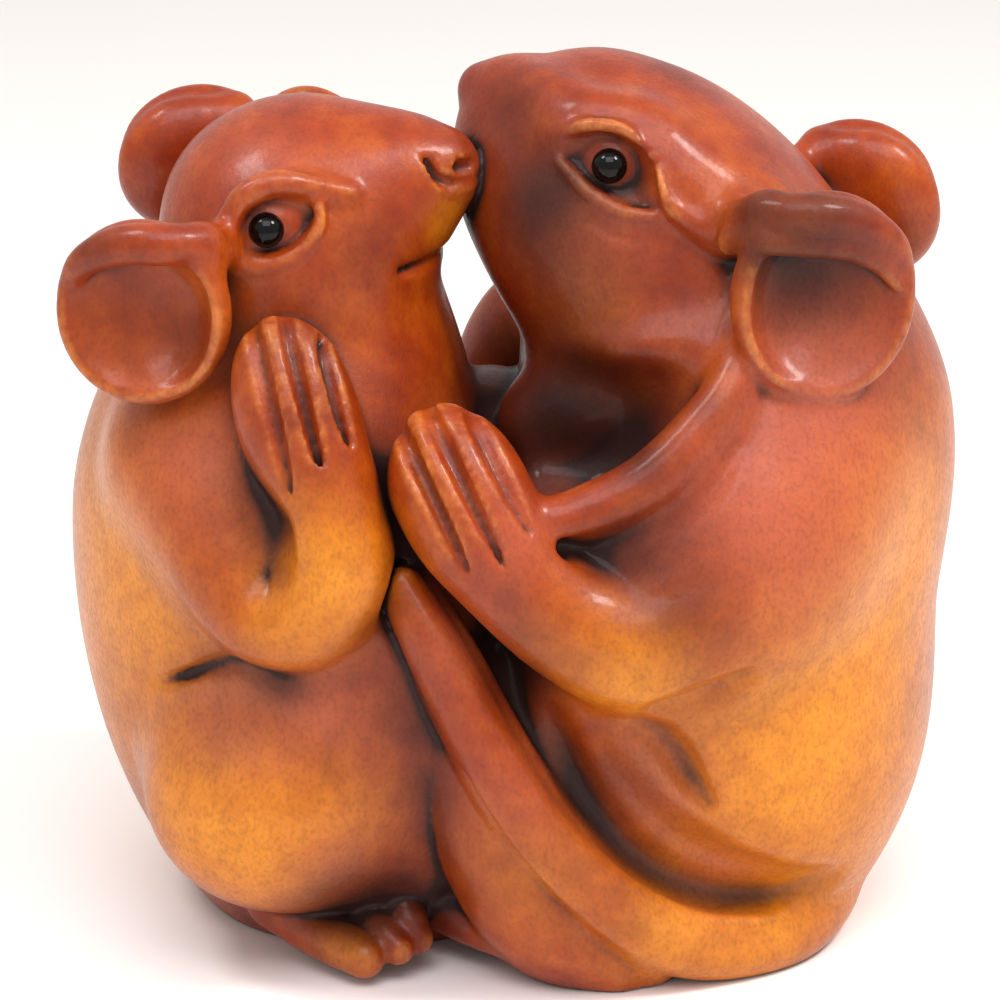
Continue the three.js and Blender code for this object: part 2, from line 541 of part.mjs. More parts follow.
function carveHead(block, head) {
  const axes = frame(head.middle, head.forward, head.up);
  for (const m of head.masses) block.join(egg(axes.at(...m.at), m.radii, axes.f, axes.u), 2.5);
  for (const m of head.muzzle) block.join(limb(m.line.map(([a, b, c, r]) => [...axes.at(a, b, c), r])), m.blend);
}

// Both sides of a face: brow, socket with its eyeball and lower lid, mouth and nose lines.
function carveFace(block, head) {
  const axes = frame(head.middle, head.forward, head.up);
  for (const side of [-1, 1]) {
    const line = (rows) => limb(rows.map(([a, b, c, r]) => [...axes.at(a, side * b, c), r]));
    block.join(line(head.brow), 0.6);
    if (head.ridge) block.join(line(head.ridge), 1.5);
    block.cut(line(head.socket), 0.4);
    const [forward, out, up] = head.eyeball.at;
    block.join(egg(axes.at(forward, side * out, up), head.eyeball.radii, axes.f, axes.u), 0.3);
    block.join(line(head.lid), 0.25);
    for (const groove of [head.mouth, head.nose]) if (groove) block.cut(line(groove), 0.25);
  }
}

function carveEar(block, ear) {
  const axes = frame(ear.centre, ear.facing, ear.up);
  const [w, h] = ear.size;
  const at = (f, out, up) => axes.at(f, ear.towardsFace * out * w, up * h);
  const line = (rows, scale) => limb(rows.map(([f, out, up, r]) => [...at(f, out, up), r * scale]));
  block.join(line(earRoot, 1), 1);
  block.join(egg(at(-0.7, 0, 0), [earThickness, w, h], axes.f, axes.u), 0.6);
  for (const hollow of earHollows) {
    block.cut(egg(at(...hollow.at), [hollow.deep, hollow.across * w, hollow.high * h], axes.f, axes.u), 0.4);
  }
  if (ear.folded) block.join(line(earFold, ear.roll), 0.25);
  block.join(line(earRoll, ear.roll), 0.3);
}

// A mitten, then the gaps between its fingers along its back.
function carveHand(block, hand, far) {
  const [middle, towards, outward] = turned([hand.middle, hand.towards, hand.outward], far);
  const [long, wide, deep] = hand.size;
  const axes = frame(middle, towards, outward);
  block.join(egg(middle, hand.size, axes.f, axes.u), 0.5);
  for (const across of hand.gaps) {
    const reach = Math.sqrt(1 - across * across);
    const gap = gapProfile.map(([along, r]) => {
      const lift = deep * reach * Math.sqrt(1 - along * along);
      return [...axes.at(along * reach * long, across * wide, lift), r * hand.gap];
    });
    block.cut(limb(gap, 0, 2), 0.4);
  }
}

function carveArm(block, arm, far) {
  block.join(limb(turned(arm.root, far)), 2.5);
  block.join(limb(turned(arm.line, far)), 0.8);
  block.cut(limb(turned(arm.hollow, far)), 0.9);
  carveHand(block, arm.hand, far);
}

function carveRats() {
  const left = trunk(leftBody);
  const right = trunk(rightBody);
  carveHead(left, leftHead);
  carveHead(right, rightHead);
  right.cut(beyond(rightNape), rightNape.blend);
  for (const far of [false, true]) {
    const [sitting, lying] = far ? [right, left] : [left, right];
    const [middle] = turned([thigh.centre], far);
    sitting.join(egg(middle, thigh.radii, [1, 0, far ? -thigh.tilt : thigh.tilt]), thigh.blend);
    sitting.cut(limb(turned(thighCrease, far)), 0.7);
    carveArm(sitting, raisedArm, far);
    lying.cut(limb(turned(far ? farHollow : throatHollow, far)), 1);
    if (!far) lying.join(limb(throat), 1.2);
    lying.join(limb(turned(hindLeg, far)), 1.2);
    lying.join(limb(turned(knee, far)), 1.2);
    lying.cut(limb(turned(kneeHollow, far)), 1.2);
    lying.cut(limb(turned(kneeCrease, far)), 0.7);
    carveArm(lying, reachingArm, far);
    if (!far) {
      lying.join(limb(collar), 0.6);
      lying.cut(limb(collarGroove), 0.6);
    }
  }
  carveFace(left, leftHead);
  carveFace(right, rightHead);
  carveEar(left, ears.leftNear);
  carveEar(left, ears.leftFar);
  carveEar(right, ears.rightNear);
  carveEar(right, ears.rightFar);
  left.merge(right, 0.25);
  left.join(egg(core.centre, core.radii), core.blend);
  for (const far of [false, true]) {
    for (const toe of foot) left.join(limb(turned(toe, far)), 0.3);
    const rows = turned(far ? farTail : tail, far);
    left.cut(limb(rows.slice(0, 5), tailGroove, 5), 0.6);
    left.join(limb(tailSeat(rows), 0, 5), 0.5);
    left.join(limb(rows, 0, 5), 0.3);
  }
  left.cut(beyond({ point: [0, 0, -1.2], outward: [0, 0, -1] }), 0);
  return left;
}

const beads = [
  ['left_rat_near_eye', leftHead, -1], ['left_rat_far_eye', leftHead, 1],
  ['right_rat_near_eye', rightHead, 1], ['right_rat_far_eye', rightHead, -1],
].map(([name, { middle, forward, up, bead }, side]) => (
  { name, place: frame(middle, forward, up).at(bead[0], side * bead[1], bead[2]) }
));

const below = new THREE.BoxGeometry(80, 80, 20).translate(0, 0, -10);
let body = solid(reduce(outside(surface(carveRats())), bodyTriangles)).subtract(solidOf(below));
for (const { place } of beads) {
  body = body.subtract(solidOf(new THREE.IcosahedronGeometry(beadRadius + beadGap, 2).translate(...place)));
}
body = solid(outside(surfaceOf(solidOf(geometryOf(body)))));   // leaves out the crumbs that the cuts part from it

const boxwood = new THREE.MeshStandardMaterial({ color: 0xa4562a, roughness: 0.38, metalness: 0 });
const blackGlass = new THREE.MeshStandardMaterial({ color: 0x0b0908, roughness: 0.08, metalness: 0 });

const netsuke = new THREE.Group();
const rats = new THREE.Mesh(geometryOf(body), boxwood);
rats.name = 'carved_rats';
netsuke.add(rats);
for (const { name, place } of beads) {
  const bead = new THREE.Mesh(geometryOf(solidOf(new THREE.IcosahedronGeometry(beadRadius, 2))), blackGlass);
  bead.name = name;
  bead.position.set(...place);
  netsuke.add(bead);
}

export default netsuke;
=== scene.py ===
import json
import math
import bmesh
import bpy
import numpy as np
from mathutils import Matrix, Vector

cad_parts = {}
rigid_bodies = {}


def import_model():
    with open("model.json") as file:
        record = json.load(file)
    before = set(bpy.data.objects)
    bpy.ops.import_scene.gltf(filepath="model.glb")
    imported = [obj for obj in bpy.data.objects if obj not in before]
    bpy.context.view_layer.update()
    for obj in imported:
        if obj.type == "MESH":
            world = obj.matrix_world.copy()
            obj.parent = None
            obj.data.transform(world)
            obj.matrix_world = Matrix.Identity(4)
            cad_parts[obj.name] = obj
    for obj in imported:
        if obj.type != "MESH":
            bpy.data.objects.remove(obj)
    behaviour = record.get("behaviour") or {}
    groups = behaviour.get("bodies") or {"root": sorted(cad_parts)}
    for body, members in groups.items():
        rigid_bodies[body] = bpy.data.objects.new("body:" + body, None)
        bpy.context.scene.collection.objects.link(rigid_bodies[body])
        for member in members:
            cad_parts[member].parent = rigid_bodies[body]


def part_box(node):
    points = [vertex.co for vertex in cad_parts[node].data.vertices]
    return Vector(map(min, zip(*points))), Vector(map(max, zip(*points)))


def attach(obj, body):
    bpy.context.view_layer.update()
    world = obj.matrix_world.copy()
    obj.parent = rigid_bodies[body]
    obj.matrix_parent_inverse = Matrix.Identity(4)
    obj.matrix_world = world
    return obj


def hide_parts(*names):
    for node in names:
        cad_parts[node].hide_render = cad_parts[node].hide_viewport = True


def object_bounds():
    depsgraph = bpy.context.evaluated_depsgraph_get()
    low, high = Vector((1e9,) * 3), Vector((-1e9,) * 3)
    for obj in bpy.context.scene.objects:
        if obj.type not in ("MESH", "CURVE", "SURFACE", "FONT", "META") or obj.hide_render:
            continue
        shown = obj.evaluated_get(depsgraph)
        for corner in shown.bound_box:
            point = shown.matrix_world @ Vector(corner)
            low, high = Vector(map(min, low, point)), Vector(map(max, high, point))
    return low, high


# A boxwood netsuke of two rats, carved on a grid of distances and finished with stain, wax and patina,
# with painted shade in the hollows and a painted violet sheen and shade in places.
# Lengths in the dictionaries are millimetres, +Z up, -Y towards the front; the meshes are in metres.
for leftover in list(bpy.data.objects):
    bpy.data.objects.remove(leftover)
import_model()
cadLow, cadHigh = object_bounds()
mm = 0.001

grid = {
    "cell": 0.22,   # spacing of the carving grid
    "margin": 2.2,                          # room left round the wood
    "floor": -1.2,                          # how far below the table the grid starts
    "faces": 190000,                        # most triangles in the finished body
    "far": 12.0,                            # a distance that stands for nothing near
    "pad": 0.8,                             # how far past its own size a shape is measured
    "endless": 60.0,                        # half the room that a plane is taken to cut
    "mends": 20,                            # most passes of mending
    "shaved": 0.01,                         # how far outside the wood a mended corner is set
}


def unit(v):
    v = np.asarray(v, float)
    return v / np.linalg.norm(v)


def softMin(a, b, blend):
    if blend <= 0:
        return np.minimum(a, b)
    near = np.maximum(blend - np.abs(a - b), 0) / blend
    return np.minimum(a, b) - near * near * blend / 4


class Axes:
    # a part's own directions: forward, out to its left side, and up
    def __init__(self, origin, forward, up):
        self.origin = np.asarray(origin, float)
        self.forward = unit(forward)
        self.side = unit(np.cross(up, self.forward))
        self.up = np.cross(self.forward, self.side)

    def at(self, forward, side, up):
        return self.origin + forward * self.forward + side * self.side + up * self.up


# A shape is a list of (low corner, high corner, distance), whose distances are negative inside.
def egg(centre, radii, forward=(1, 0, 0), up=(0, 0, 1)):
    axes = Axes(centre, forward, up)
    rows = np.array([axes.forward, axes.side, axes.up])
    middle, size = axes.origin, np.asarray(radii, float)
    reach = np.sqrt(((rows * size[:, None]) ** 2).sum(0))

    def distance(x, y, z):
        dx, dy, dz = x - middle[0], y - middle[1], z - middle[2]
        plain, steep = 0, 0
        for row, r in zip(rows, size):
            p = (dx * row[0] + dy * row[1] + dz * row[2]) / r
            p = p * p
            plain = plain + p
            steep = steep + p / r ** 2
        plain = np.sqrt(plain)
        return plain * (plain - 1) / (np.sqrt(steep) + 1e-6)

    return [(middle - reach, middle + reach, distance)]


def spline(rows, steps):
    # a smooth curve through rows of any width
    p = np.array(rows, float)
    if len(p) < 3:
        t = np.linspace(0, 1, steps + 1)[:, None]
        return p[0] * (1 - t) + p[-1] * t
    ends = np.vstack([2 * p[0] - p[1], p, 2 * p[-1] - p[-2]])
    out = []
    for a, b, c, d in zip(ends[:-3], ends[1:-2], ends[2:-1], ends[3:]):
        for t in np.arange(steps) / steps:
            out.append(0.5 * (2 * b + (c - a) * t + (2 * a - 5 * b + 4 * c - d) * t * t
                              + (3 * b - a - 3 * c + d) * t ** 3))
    return np.array(out + [p[-1]])


def limb(rows, steps=4, wider=0.0):
    # a ball swept along rows of x, y, z and radius
    line = spline(rows, steps)
    line[:, 3] += wider
    pieces = []
    for a, b in zip(line[:-1], line[1:]):
        def distance(x, y, z, start=a[:3], way=b[:3] - a[:3], ra=a[3], grow=b[3] - a[3]):
            long = math.sqrt(way @ way) + 1e-9
            lean = min(max(grow / long, -0.9), 0.9)
            dx, dy, dz = x - start[0], y - start[1], z - start[2]
            along = (dx * way[0] + dy * way[1] + dz * way[2]) / long
            off = np.sqrt(np.maximum(dx * dx + dy * dy + dz * dz - along * along, 0))
            t = np.clip((along + off * lean / math.sqrt(1 - lean * lean)) / long, 0, 1)
            dx, dy, dz = dx - t * way[0], dy - t * way[1], dz - t * way[2]
            return np.sqrt(dx * dx + dy * dy + dz * dz) - (ra + grow * t)
        low = np.minimum(a[:3] - a[3], b[:3] - b[3])
        high = np.maximum(a[:3] + a[3], b[:3] + b[3])
        pieces.append((low, high, distance))
    return pieces


def beyond(point, outward):
    # all that lies past a plane
    n, p = unit(outward), np.asarray(point, float)

    def distance(x, y, z):
        return -((x - p[0]) * n[0] + (y - p[1]) * n[1] + (z - p[2]) * n[2])
    return [(np.full(3, -grid["endless"]), np.full(3, grid["endless"]), distance)]


class Block:
    # a block of wood as a grid of distances
    def __init__(self, low, high, cell):
        self.low, self.cell = np.asarray(low, float), cell
        self.size = np.ceil((np.asarray(high) - self.low) / cell).astype(int) + 1
        self.field = np.full(self.size, grid["far"], np.float32)
        self.lines = [(self.low[i] + cell * np.arange(self.size[i])).astype(np.float32) for i in range(3)]

    def window(self, low, high, pad):
        a = np.clip(np.floor((low - pad - self.low) / self.cell).astype(int), 0, self.size - 1)
        b = np.clip(np.ceil((high + pad - self.low) / self.cell).astype(int) + 1, a + 1, self.size)
        return tuple(slice(i, j) for i, j in zip(a, b))

    def coordinates(self, window):
        x, y, z = (line[w] for line, w in zip(self.lines, window))
        return x[:, None, None], y[None, :, None], z[None, None, :]

    def measure(self, shape, pad):
        low = np.min([p[0] for p in shape], axis=0)
        high = np.max([p[1] for p in shape], axis=0)
        window = self.window(low, high, pad)
        if len(shape) == 1:
            return window, shape[0][2](*self.coordinates(window)).astype(np.float32)
        whole = np.full([w.stop - w.start for w in window], grid["far"], np.float32)
        for low, high, distance in shape:
            own = self.window(low, high, pad)
            part = tuple(slice(i.start - j.start, i.stop - j.start) for i, j in zip(own, window))
            whole[part] = np.minimum(whole[part], distance(*self.coordinates(own)).astype(np.float32))
        return window, whole

    def join(self, shape, blend):
        window, distance = self.measure(shape, blend + grid["pad"])
        self.field[window] = softMin(self.field[window], distance, blend)

    def cut(self, shape, blend):
        window, distance = self.measure(shape, blend + grid["pad"])
        self.field[window] = -softMin(-self.field[window], distance, blend)

    def sample(self, values, points):
        # values of another grid of the same size, at points between its own
        place = (points - self.low) / self.cell
        base = np.clip(np.floor(place).astype(int), 0, self.size - 2)
        t = place - base
        found = np.zeros(len(points))
        for i in (0, 1):
            for j in (0, 1):
                for k in (0, 1):
                    share = abs(1 - i - t[:, 0]) * abs(1 - j - t[:, 1]) * abs(1 - k - t[:, 2])
                    found += share * values[base[:, 0] + i, base[:, 1] + j, base[:, 2] + k]
        return found


leftBody = {
    "eggs": [((-6.5, 0.5, 18.8), (14.6, 14.6, 23.0), 0)],
    "planes": [
        ((-17.5, 0, 31.5), (-0.73, 0, 0.68), 5),
        ((-10, 0, 31.5), (0.1, 0, 1), 5),
        ((-1, 0, 20), (1, 0, 0.25), 4),
        ((-3, 9.5, 27), (0.6, 0.7, 0.45), 4),
        ((-3, -9.5, 27), (0.6, -0.7, 0.45), 4),
    ],
    "chest": [(-9, -1.5, 22, 8), (-8.8, -2.5, 28, 6.5), (-9, -2.5, 33, 5.8)],
}
rightBody = {
    "eggs": [((8, 0.5, 19), (13.7, 15.0, 27), 0), ((11.4, 0.5, 10), (9.2, 13.2, 10), 3)],
    "planes": [
        ((8, 0, 33), (-0.3, 0, 1), 5),
        ((8, 13, 30), (0, 0.75, 0.6), 5),
        ((8, -13, 30), (0, -0.75, 0.6), 5),
        ((0, 0, 20), (-1, 0, 0.25), 4),
    ],
    "chest": [(12, -0.5, 24, 9), (9, -1, 31, 7.5), (8, -1, 34, 6.5)],
}
join = {
    "core": ((-0.5, 0.5, 12), (7, 10.5, 15)),      # joins the two bellies
    "coreBlend": 1.0,
    "touch": 0.25,                                  # softness where the rats touch
    "nape": ((16.9, 0, 36.5), (0.697, 0, 0.717), 4),    # the plane behind the right rat's head
}


def trunk(body):
    block = Block(room["low"], room["high"], grid["cell"])
    for centre, radii, blend in body["eggs"]:
        block.join(egg(centre, radii), blend)
    for point, outward, blend in body["planes"]:
        block.cut(beyond(point, outward), blend)
    block.join(limb(body["chest"]), 4)
    return block


# The heads, in their own axes: forward, out to the side, up. The rows end with a radius, and each line of
# the face is cut or raised on both sides.
leftHead = {
    "middle": (-10.2, -2.8, 36.2), "forward": (15.5, -1.9, 2.8), "up": (-0.17, -0.11, 0.98),
    "farDrop": 0,       # how much lower the ridges and grooves lie on the far side of the face
    "masses": [((-0.2, 0, -0.6), (5.8, 6.2, 5.5)),
               ((0, 3, -2.5), (5, 3.3, 4)), ((0, -3, -2.5), (5, 3.3, 4))],
    "muzzle": [([(2, 0, -0.5, 4.8), (5, 0, 0.1, 3.7), (7.3, 0, 0.5, 2.3)], 2.0)],
    "ridges": [([(-2.4, 6.0, 0.3, 0.5), (-1.3, 6.3, 1.6, 0.6), (-0.5, 6.2, 2.7, 0.65),
                 (0.8, 5.8, 3.1, 0.65), (2.1, 5.4, 2.7, 0.6), (4.1, 4.5, 1.6, 0.3)], 0.7)],
    "socket": [(-1.3, 6.9, 0.3, 0.8), (0, 7.0, 1.0, 1.25), (1.4, 6.7, 1.2, 1.1), (2.5, 6.1, 1.3, 0.6)],
    "eyeball": ((0.3, 5.2, 1.0), (1.6, 1.25, 1.3)),
    "lid": [(-1.8, 6.2, -0.1, 0.3), (-0.8, 6.5, -0.5, 0.4), (0.5, 6.6, -0.5, 0.45),
            (1.8, 6.3, -0.1, 0.4), (2.7, 5.9, 0.8, 0.35), (2.8, 5.6, 1.7, 0.25)],
    "grooves": [
        ([(5.5, 4.2, -2.6, 0.12), (6.1, 3.3, -2.8, 0.2), (6.9, 1.9, -3.15, 0.26),
          (7.4, 0, -3.35, 0.26)], 0.5),
        ([(7.4, 2.0, 1.7, 0.2), (7.7, 2.2, 1.1, 0.25), (8.2, 2.1, 0.6, 0.25), (8.8, 1.7, 0.35, 0.25),
          (9.6, 0.8, 0.2, 0.25), (9.8, 0, 0.2, 0.25)], 0.2),
        ([(8.8, 1.4, 1.0, 0.35), (9.4, 0.8, 0.85, 0.3)], 0.2),
    ],
}
rightHead = {
    "middle": (5.5, -0.4, 38), "forward": (-19, 2.5, 6.2), "up": (0.32, 0, 0.95), "farDrop": 1.1,
    "masses": [((-2.5, 0, -1.4), (9.4, 7.4, 6.7)), ((-5.5, 0, -0.4), (6, 6.3, 4.9)),
               ((-0.5, 3.3, -3.5), (5, 4, 4.6)), ((-0.5, -3.3, -3.5), (5, 4, 4.6))],
    "muzzle": [([(1.5, 0, -1.4, 5.2), (3.6, 0, -0.8, 3.8), (5.3, 0, 0.6, 2.3),
                 (7.0, 0, 1.0, 1.2)], 2.0),
               ([(5.0, 0, 0.3, 1.9), (3.0, 0, -2.6, 2.5)], 1.5)],
    "ridges": [([(2.6, 5.4, 1.4, 0.3), (1.3, 5.5, 2.7, 0.5), (-0.4, 5.5, 3.0, 0.7),
                 (-1.8, 5.8, 2.4, 0.8), (-3.3, 5.9, 1.3, 1.0), (-5.5, 5.9, 0.7, 1.1),
                 (-7.4, 5.8, 0.5, 1.1)], 2.4),
               ([(2.7, 6.2, 1.3, 0.2), (1.3, 6.9, 2.4, 0.35), (-0.3, 7.0, 2.6, 0.4),
                 (-1.7, 7.5, 1.7, 0.4), (-3.2, 7.8, 0.3, 0.45), (-5.5, 7.6, -0.3, 0.5),
                 (-7.6, 7.5, -0.4, 0.5)], 0.35),
               ([(5.8, 1.3, 1.7, 0.4), (4.7, 2.6, 2.2, 0.6), (3.3, 4.0, 2.4, 0.6),
                 (2.2, 4.8, 2.2, 0.4)], 2.2)],
    "socket": [(1.7, 7.0, 0.7, 0.5), (0.8, 7.6, 1.0, 1.2), (-0.5, 7.8, 1.0, 1.55), (-1.8, 8.0, 0.2, 1.0),
               (-2.7, 8.1, -0.3, 0.4)],
    "eyeball": ((-0.1, 5.8, 0.8), (1.4, 1.25, 1.3)),
    "lid": [(2.2, 6.6, 0.3, 0.25), (1.0, 7.2, -0.3, 0.35), (-0.2, 7.5, -0.7, 0.4),
            (-1.5, 7.7, -0.8, 0.35), (-2.8, 7.7, -0.5, 0.3)],
    "grooves": [
        ([(0.4, 7.9, -1.4, 0.1), (-0.6, 8.0, -1.75, 0.2), (-1.7, 8.1, -1.85, 0.2),
          (-2.8, 8.1, -1.7, 0.1)], 0.25),
        ([(-3.0, 8.3, -0.9, 0.15), (-5.4, 8.0, -1.4, 0.3), (-7.6, 7.8, -1.5, 0.4)], 0.5),
        ([(6.9, 1.3, 0.9, 0.15), (6.6, 1.7, 0.3, 0.25), (6.2, 1.8, -0.3, 0.15)], 0.3),
        ([(5.9, 1.2, -1.6, 0.2), (4.9, 2.6, -2.0, 0.22), (3.6, 3.9, -2.2, 0.1)], 0.3),
    ],
}


headBlends = {"mass": 2.5, "socket": 0.4, "eyeball": 0.3, "lid": 0.25}


def carveHead(block, head):
    axes = Axes(head["middle"], head["forward"], head["up"])
    for place, radii in head["masses"]:
        block.join(egg(axes.at(*place), radii, axes.forward, axes.up), headBlends["mass"])
    for rows, blend in head["muzzle"]:
        block.join(limb([(*axes.at(*row[:3]), row[3]) for row in rows]), blend)


def carveFace(block, head):
    axes = Axes(head["middle"], head["forward"], head["up"])
    for side in (-1, 1):
        lower = head["farDrop"] if side * axes.side[1] > 0 else 0

        def line(rows, drop=0):
            return limb([(*axes.at(f, side * out, up - drop), r) for f, out, up, r in rows])
        for rows, blend in head["ridges"]:
            block.join(line(rows, lower), blend)
        block.cut(line(head["socket"]), headBlends["socket"])
        (f, out, up), radii = head["eyeball"]
        eyeball = egg(axes.at(f, side * out, up), radii, axes.forward, axes.up)
        block.join(eyeball, headBlends["eyeball"])
        block.join(line(head["lid"]), headBlends["lid"])
        for rows, blend in head["grooves"]:
            block.cut(line(rows, lower), blend)


# The ears: a hollowed dish whose upper edge is rolled over, in parts of its half width and half height.
earForm = {
    "thickness": 1.9,
    "bowl": ((0.9, -0.04, -0.04), (1.8, 0.95, 0.94)),
    "depth": ((0.5, 0.34, -0.06), (1.9, 0.48, 0.72)),       # the bowl is deepest beside the face
    "roll": [(-4.6, 0.9, 0.45, 0.5), (-2.4, 0.8, 0.68, 0.65), (-0.8, 0.68, 0.78, 0.85),
             (0.2, 0.5, 0.78, 0.95), (0.6, 0.25, 0.78, 1.0), (0.6, -0.08, 0.76, 0.95),
             (0.4, -0.42, 0.65, 0.85), (0, -0.7, 0.47, 0.65), (-0.6, -0.86, 0.2, 0.4)],
    "fold": [(-1.8, 0.95, 0.45, 0.5), (0.1, 0.72, 0.5, 0.5), (0.4, 0.35, 0.52, 0.6),
             (0.45, -0.1, 0.5, 0.6), (0.2, -0.5, 0.36, 0.5), (-0.2, -0.78, 0.12, 0.3)],
    "root": [(-1.6, 0.5, 0.1, 0.8), (-3.0, 0.5, 0.1, 0.8), (-4.5, 0.5, 0.1, 0.8)],
}
ears = {
    "leftNear": {"centre": (-16.5, -11.3, 33.1), "facing": (-0.25, -1, 0.12), "up": (0, 0, 1),
                 "size": (4.2, 4.3), "towardsFace": 1, "roll": 1.0, "folded": False},
    "leftFar": {"centre": (-15.6, 6.5, 36.3), "facing": (-0.35, 1, 0.25), "up": (0, 0, 1),
                "size": (3.6, 3.6), "towardsFace": -1, "roll": 0.75, "folded": False},
    "rightNear": {"centre": (15, -11.2, 33.8), "facing": (0.3, -1, 0.12), "up": (0.1, 0, 1),
                  "size": (4.5, 4.9), "towardsFace": -1, "roll": 1.05, "folded": True},
    "rightFar": {"centre": (18.6, 6.8, 34.2), "facing": (0.45, 1, 0.3), "up": (0, 0, 1),
                 "size": (3.7, 4), "towardsFace": 1, "roll": 0.75, "folded": True},
}


def carveEar(block, ear):
    axes = Axes(ear["centre"], ear["facing"], ear["up"])
    wide, tall = ear["size"]

    def at(f, out, up):
        return axes.at(f, ear["towardsFace"] * out * wide, up * tall)

    def line(rows, scale):
        return limb([(*at(f, out, up), r * scale) for f, out, up, r in rows])
    block.join(line(earForm["root"], 1), 1)
    block.join(egg(axes.at(-0.7, 0, 0), (earForm["thickness"], wide, tall), axes.forward, axes.up), 0.6)
    for place, (deep, across, high) in (earForm["bowl"], earForm["depth"]):
        block.cut(egg(at(*place), (deep, across * wide, high * tall), axes.forward, axes.up), 0.4)
    if ear["folded"]:
        block.join(line(earForm["fold"], ear["roll"]), 0.25)
    block.join(line(earForm["roll"][:3], ear["roll"]), 1.6)
    block.join(line(earForm["roll"], ear["roll"]), 0.3)


# The limbs: rows of x, y, z and radius on the front.
raisedArm = {   # the hand lies on the rat's own cheek
    "root": [(-14.8, -8, 25.2, 3.4), (-13.8, -10.4, 23.4, 2.8), (-12.9, -12, 21.3, 2.1)],
    "line": [(-12.9, -12, 21.3, 2.1), (-11.4, -13, 19.3, 2.2), (-9, -13.6, 19.3, 2.5),
             (-7.6, -13.7, 21.6, 2.7), (-7.9, -13.4, 24.5, 2.6), (-9, -12.4, 28.4, 2.5),
             (-9.5, -11.6, 30.2, 2.2)],
    "hollow": [(-12, -12.6, 29, 0.4), (-11.4, -13.9, 26.8, 1.0), (-10.7, -14.6, 24.2, 1.2),
               (-10.2, -15.5, 22, 0.6)],
    "hand": {"middle": (-9.5, -12.9, 28.9), "towards": (-1.5, 2.0, 5.9), "outward": (0, -1, 0.35),
             "size": (4.5, 2.6, 1.9), "gaps": (-0.78, -0.27, 0.3), "gap": 0.34},
}
reachingArm = {   # the hand lies on the other rat's chest
    "root": [(12.8, -7.6, 24.2, 5.6), (12, -10.2, 21.6, 5.2), (9.3, -12, 19, 4.2)],
    "line": [(9.3, -12, 19, 4.2), (6.2, -13.6, 18.1, 3.4), (3.3, -14.2, 19.2, 2.8),
             (0.9, -14.2, 21.3, 2.7), (-0.9, -13.8, 23.5, 2.9), (-2.2, -13, 25.4, 2.8)],
    "hollow": [(7.4, -15.6, 15.3, 0.5), (9.2, -15.6, 15.8, 0.7), (11.3, -15.3, 16.8, 0.4)],
    "hand": {"middle": (-1.6, -14, 25.3), "towards": (-0.44, 0.4, 0.83), "outward": (-0.1, -1, 0.45),
             "size": (4.5, 2.9, 2.1), "gaps": (-0.65, -0.08, 0.45), "gap": 0.38},
}
farSide = (-0.92, -1, 1)   # the back repeats the front after half a turn, a little narrower
fingerGap = ((1.0, 0.7), (0.8, 0.9), (0.5, 1), (0.2, 0.95), (-0.2, 0.85), (-0.5, 0.65), (-0.85, 0.25))
armBlends = {"root": 2.5, "line": 0.8, "hollow": 0.9, "palm": 1.2, "gap": 0.4}


def turned(rows, far):
    if not far:
        return rows
    return [(x * farSide[0], y * farSide[1], z * farSide[2], *rest) for x, y, z, *rest in rows]


def carveHand(block, hand, far):
    # a mitten, then the gaps between its fingers along its back: fingerGap says how thick each gap is,
    # in parts of its own size, at places from the fingertips (1) to the wrist (-1)
    middle, towards, outward = turned([hand["middle"], hand["towards"], hand["outward"]], far)
    long, wide, deep = hand["size"]
    axes = Axes(middle, towards, outward)
    block.join(egg(middle, (long, wide, deep), axes.forward, axes.up), armBlends["palm"])
    for across in hand["gaps"]:
        gap = []
        for along, r in fingerGap:
            reach = math.sqrt(1 - across * across)
            lift = deep * reach * math.sqrt(max(1 - along * along, 0)) + 0.35 * (1 - r)
            gap.append((*axes.at(along * reach * long, across * wide, lift), r * hand["gap"]))
        block.cut(limb(gap, 2), armBlends["gap"])


def carveArm(block, arm, far):
    block.join(limb(turned(arm["root"], far)), armBlends["root"])
    block.join(limb(turned(arm["line"], far)), armBlends["line"])
    block.cut(limb(turned(arm["hollow"], far)), armBlends["hollow"])
    carveHand(block, arm["hand"], far)


thigh = {"centre": (-10.5, -9, 9), "radii": (6.6, 6, 6.1), "tilt": -0.1, "blend": 1.6}
thighCrease = [(-16.6, -9.9, 14.5, 0.15), (-14.9, -10.9, 15.3, 0.35), (-13.5, -12.1, 16.2, 0.45),
               (-11.8, -13.4, 16.9, 0.45), (-10.2, -13.9, 16.4, 0.35), (-8.6, -14.4, 15.6, 0.15)]
foot = [
    [(-11, -8, 2.6, 1.4), (-8.5, -10, 1.8, 1.4), (-6.5, -12, 1.3, 1)],
    [(-7.6, -8, 3.1, 1.2), (-5.9, -10.5, 2.2, 1), (-4.9, -11.6, 1.6, 0.8)],
    [(-5.9, -7.5, 4, 1.2), (-4.6, -10, 2.7, 1), (-4, -10.8, 1.8, 0.8)],
    [(-3.9, -7, 3.2, 1.8), (-1.7, -9.3, 2.2, 1.2), (0.4, -11, 1.5, 0.7)],
]
hindLeg = [(-2.1, -10.2, 14.3, 3), (0, -10, 9.3, 4), (2.8, -10, 4.7, 4.7), (5.4, -9.6, 2.8, 4.5)]
knee = [(4, -11.2, 14.7, 2.4), (5.9, -12, 11.2, 2.2), (8.6, -11.4, 7.7, 1.8)]
kneeCrease = [(5.7, -14.7, 15.5, 0.3), (6.6, -14.5, 14.7, 0.55), (7.9, -14.1, 13.1, 0.7),
              (8.9, -13.7, 11.3, 0.6), (9.8, -13.6, 10, 0.25)]
kneeHollow = [(2.4, -15.4, 15, 1.4), (4.1, -15.3, 12.2, 1.9), (6.5, -14.9, 8.8, 2.1),
              (10, -13.5, 5.9, 1.9), (13.6, -11.9, 4.4, 1.4), (16, -10, 4, 0.8)]
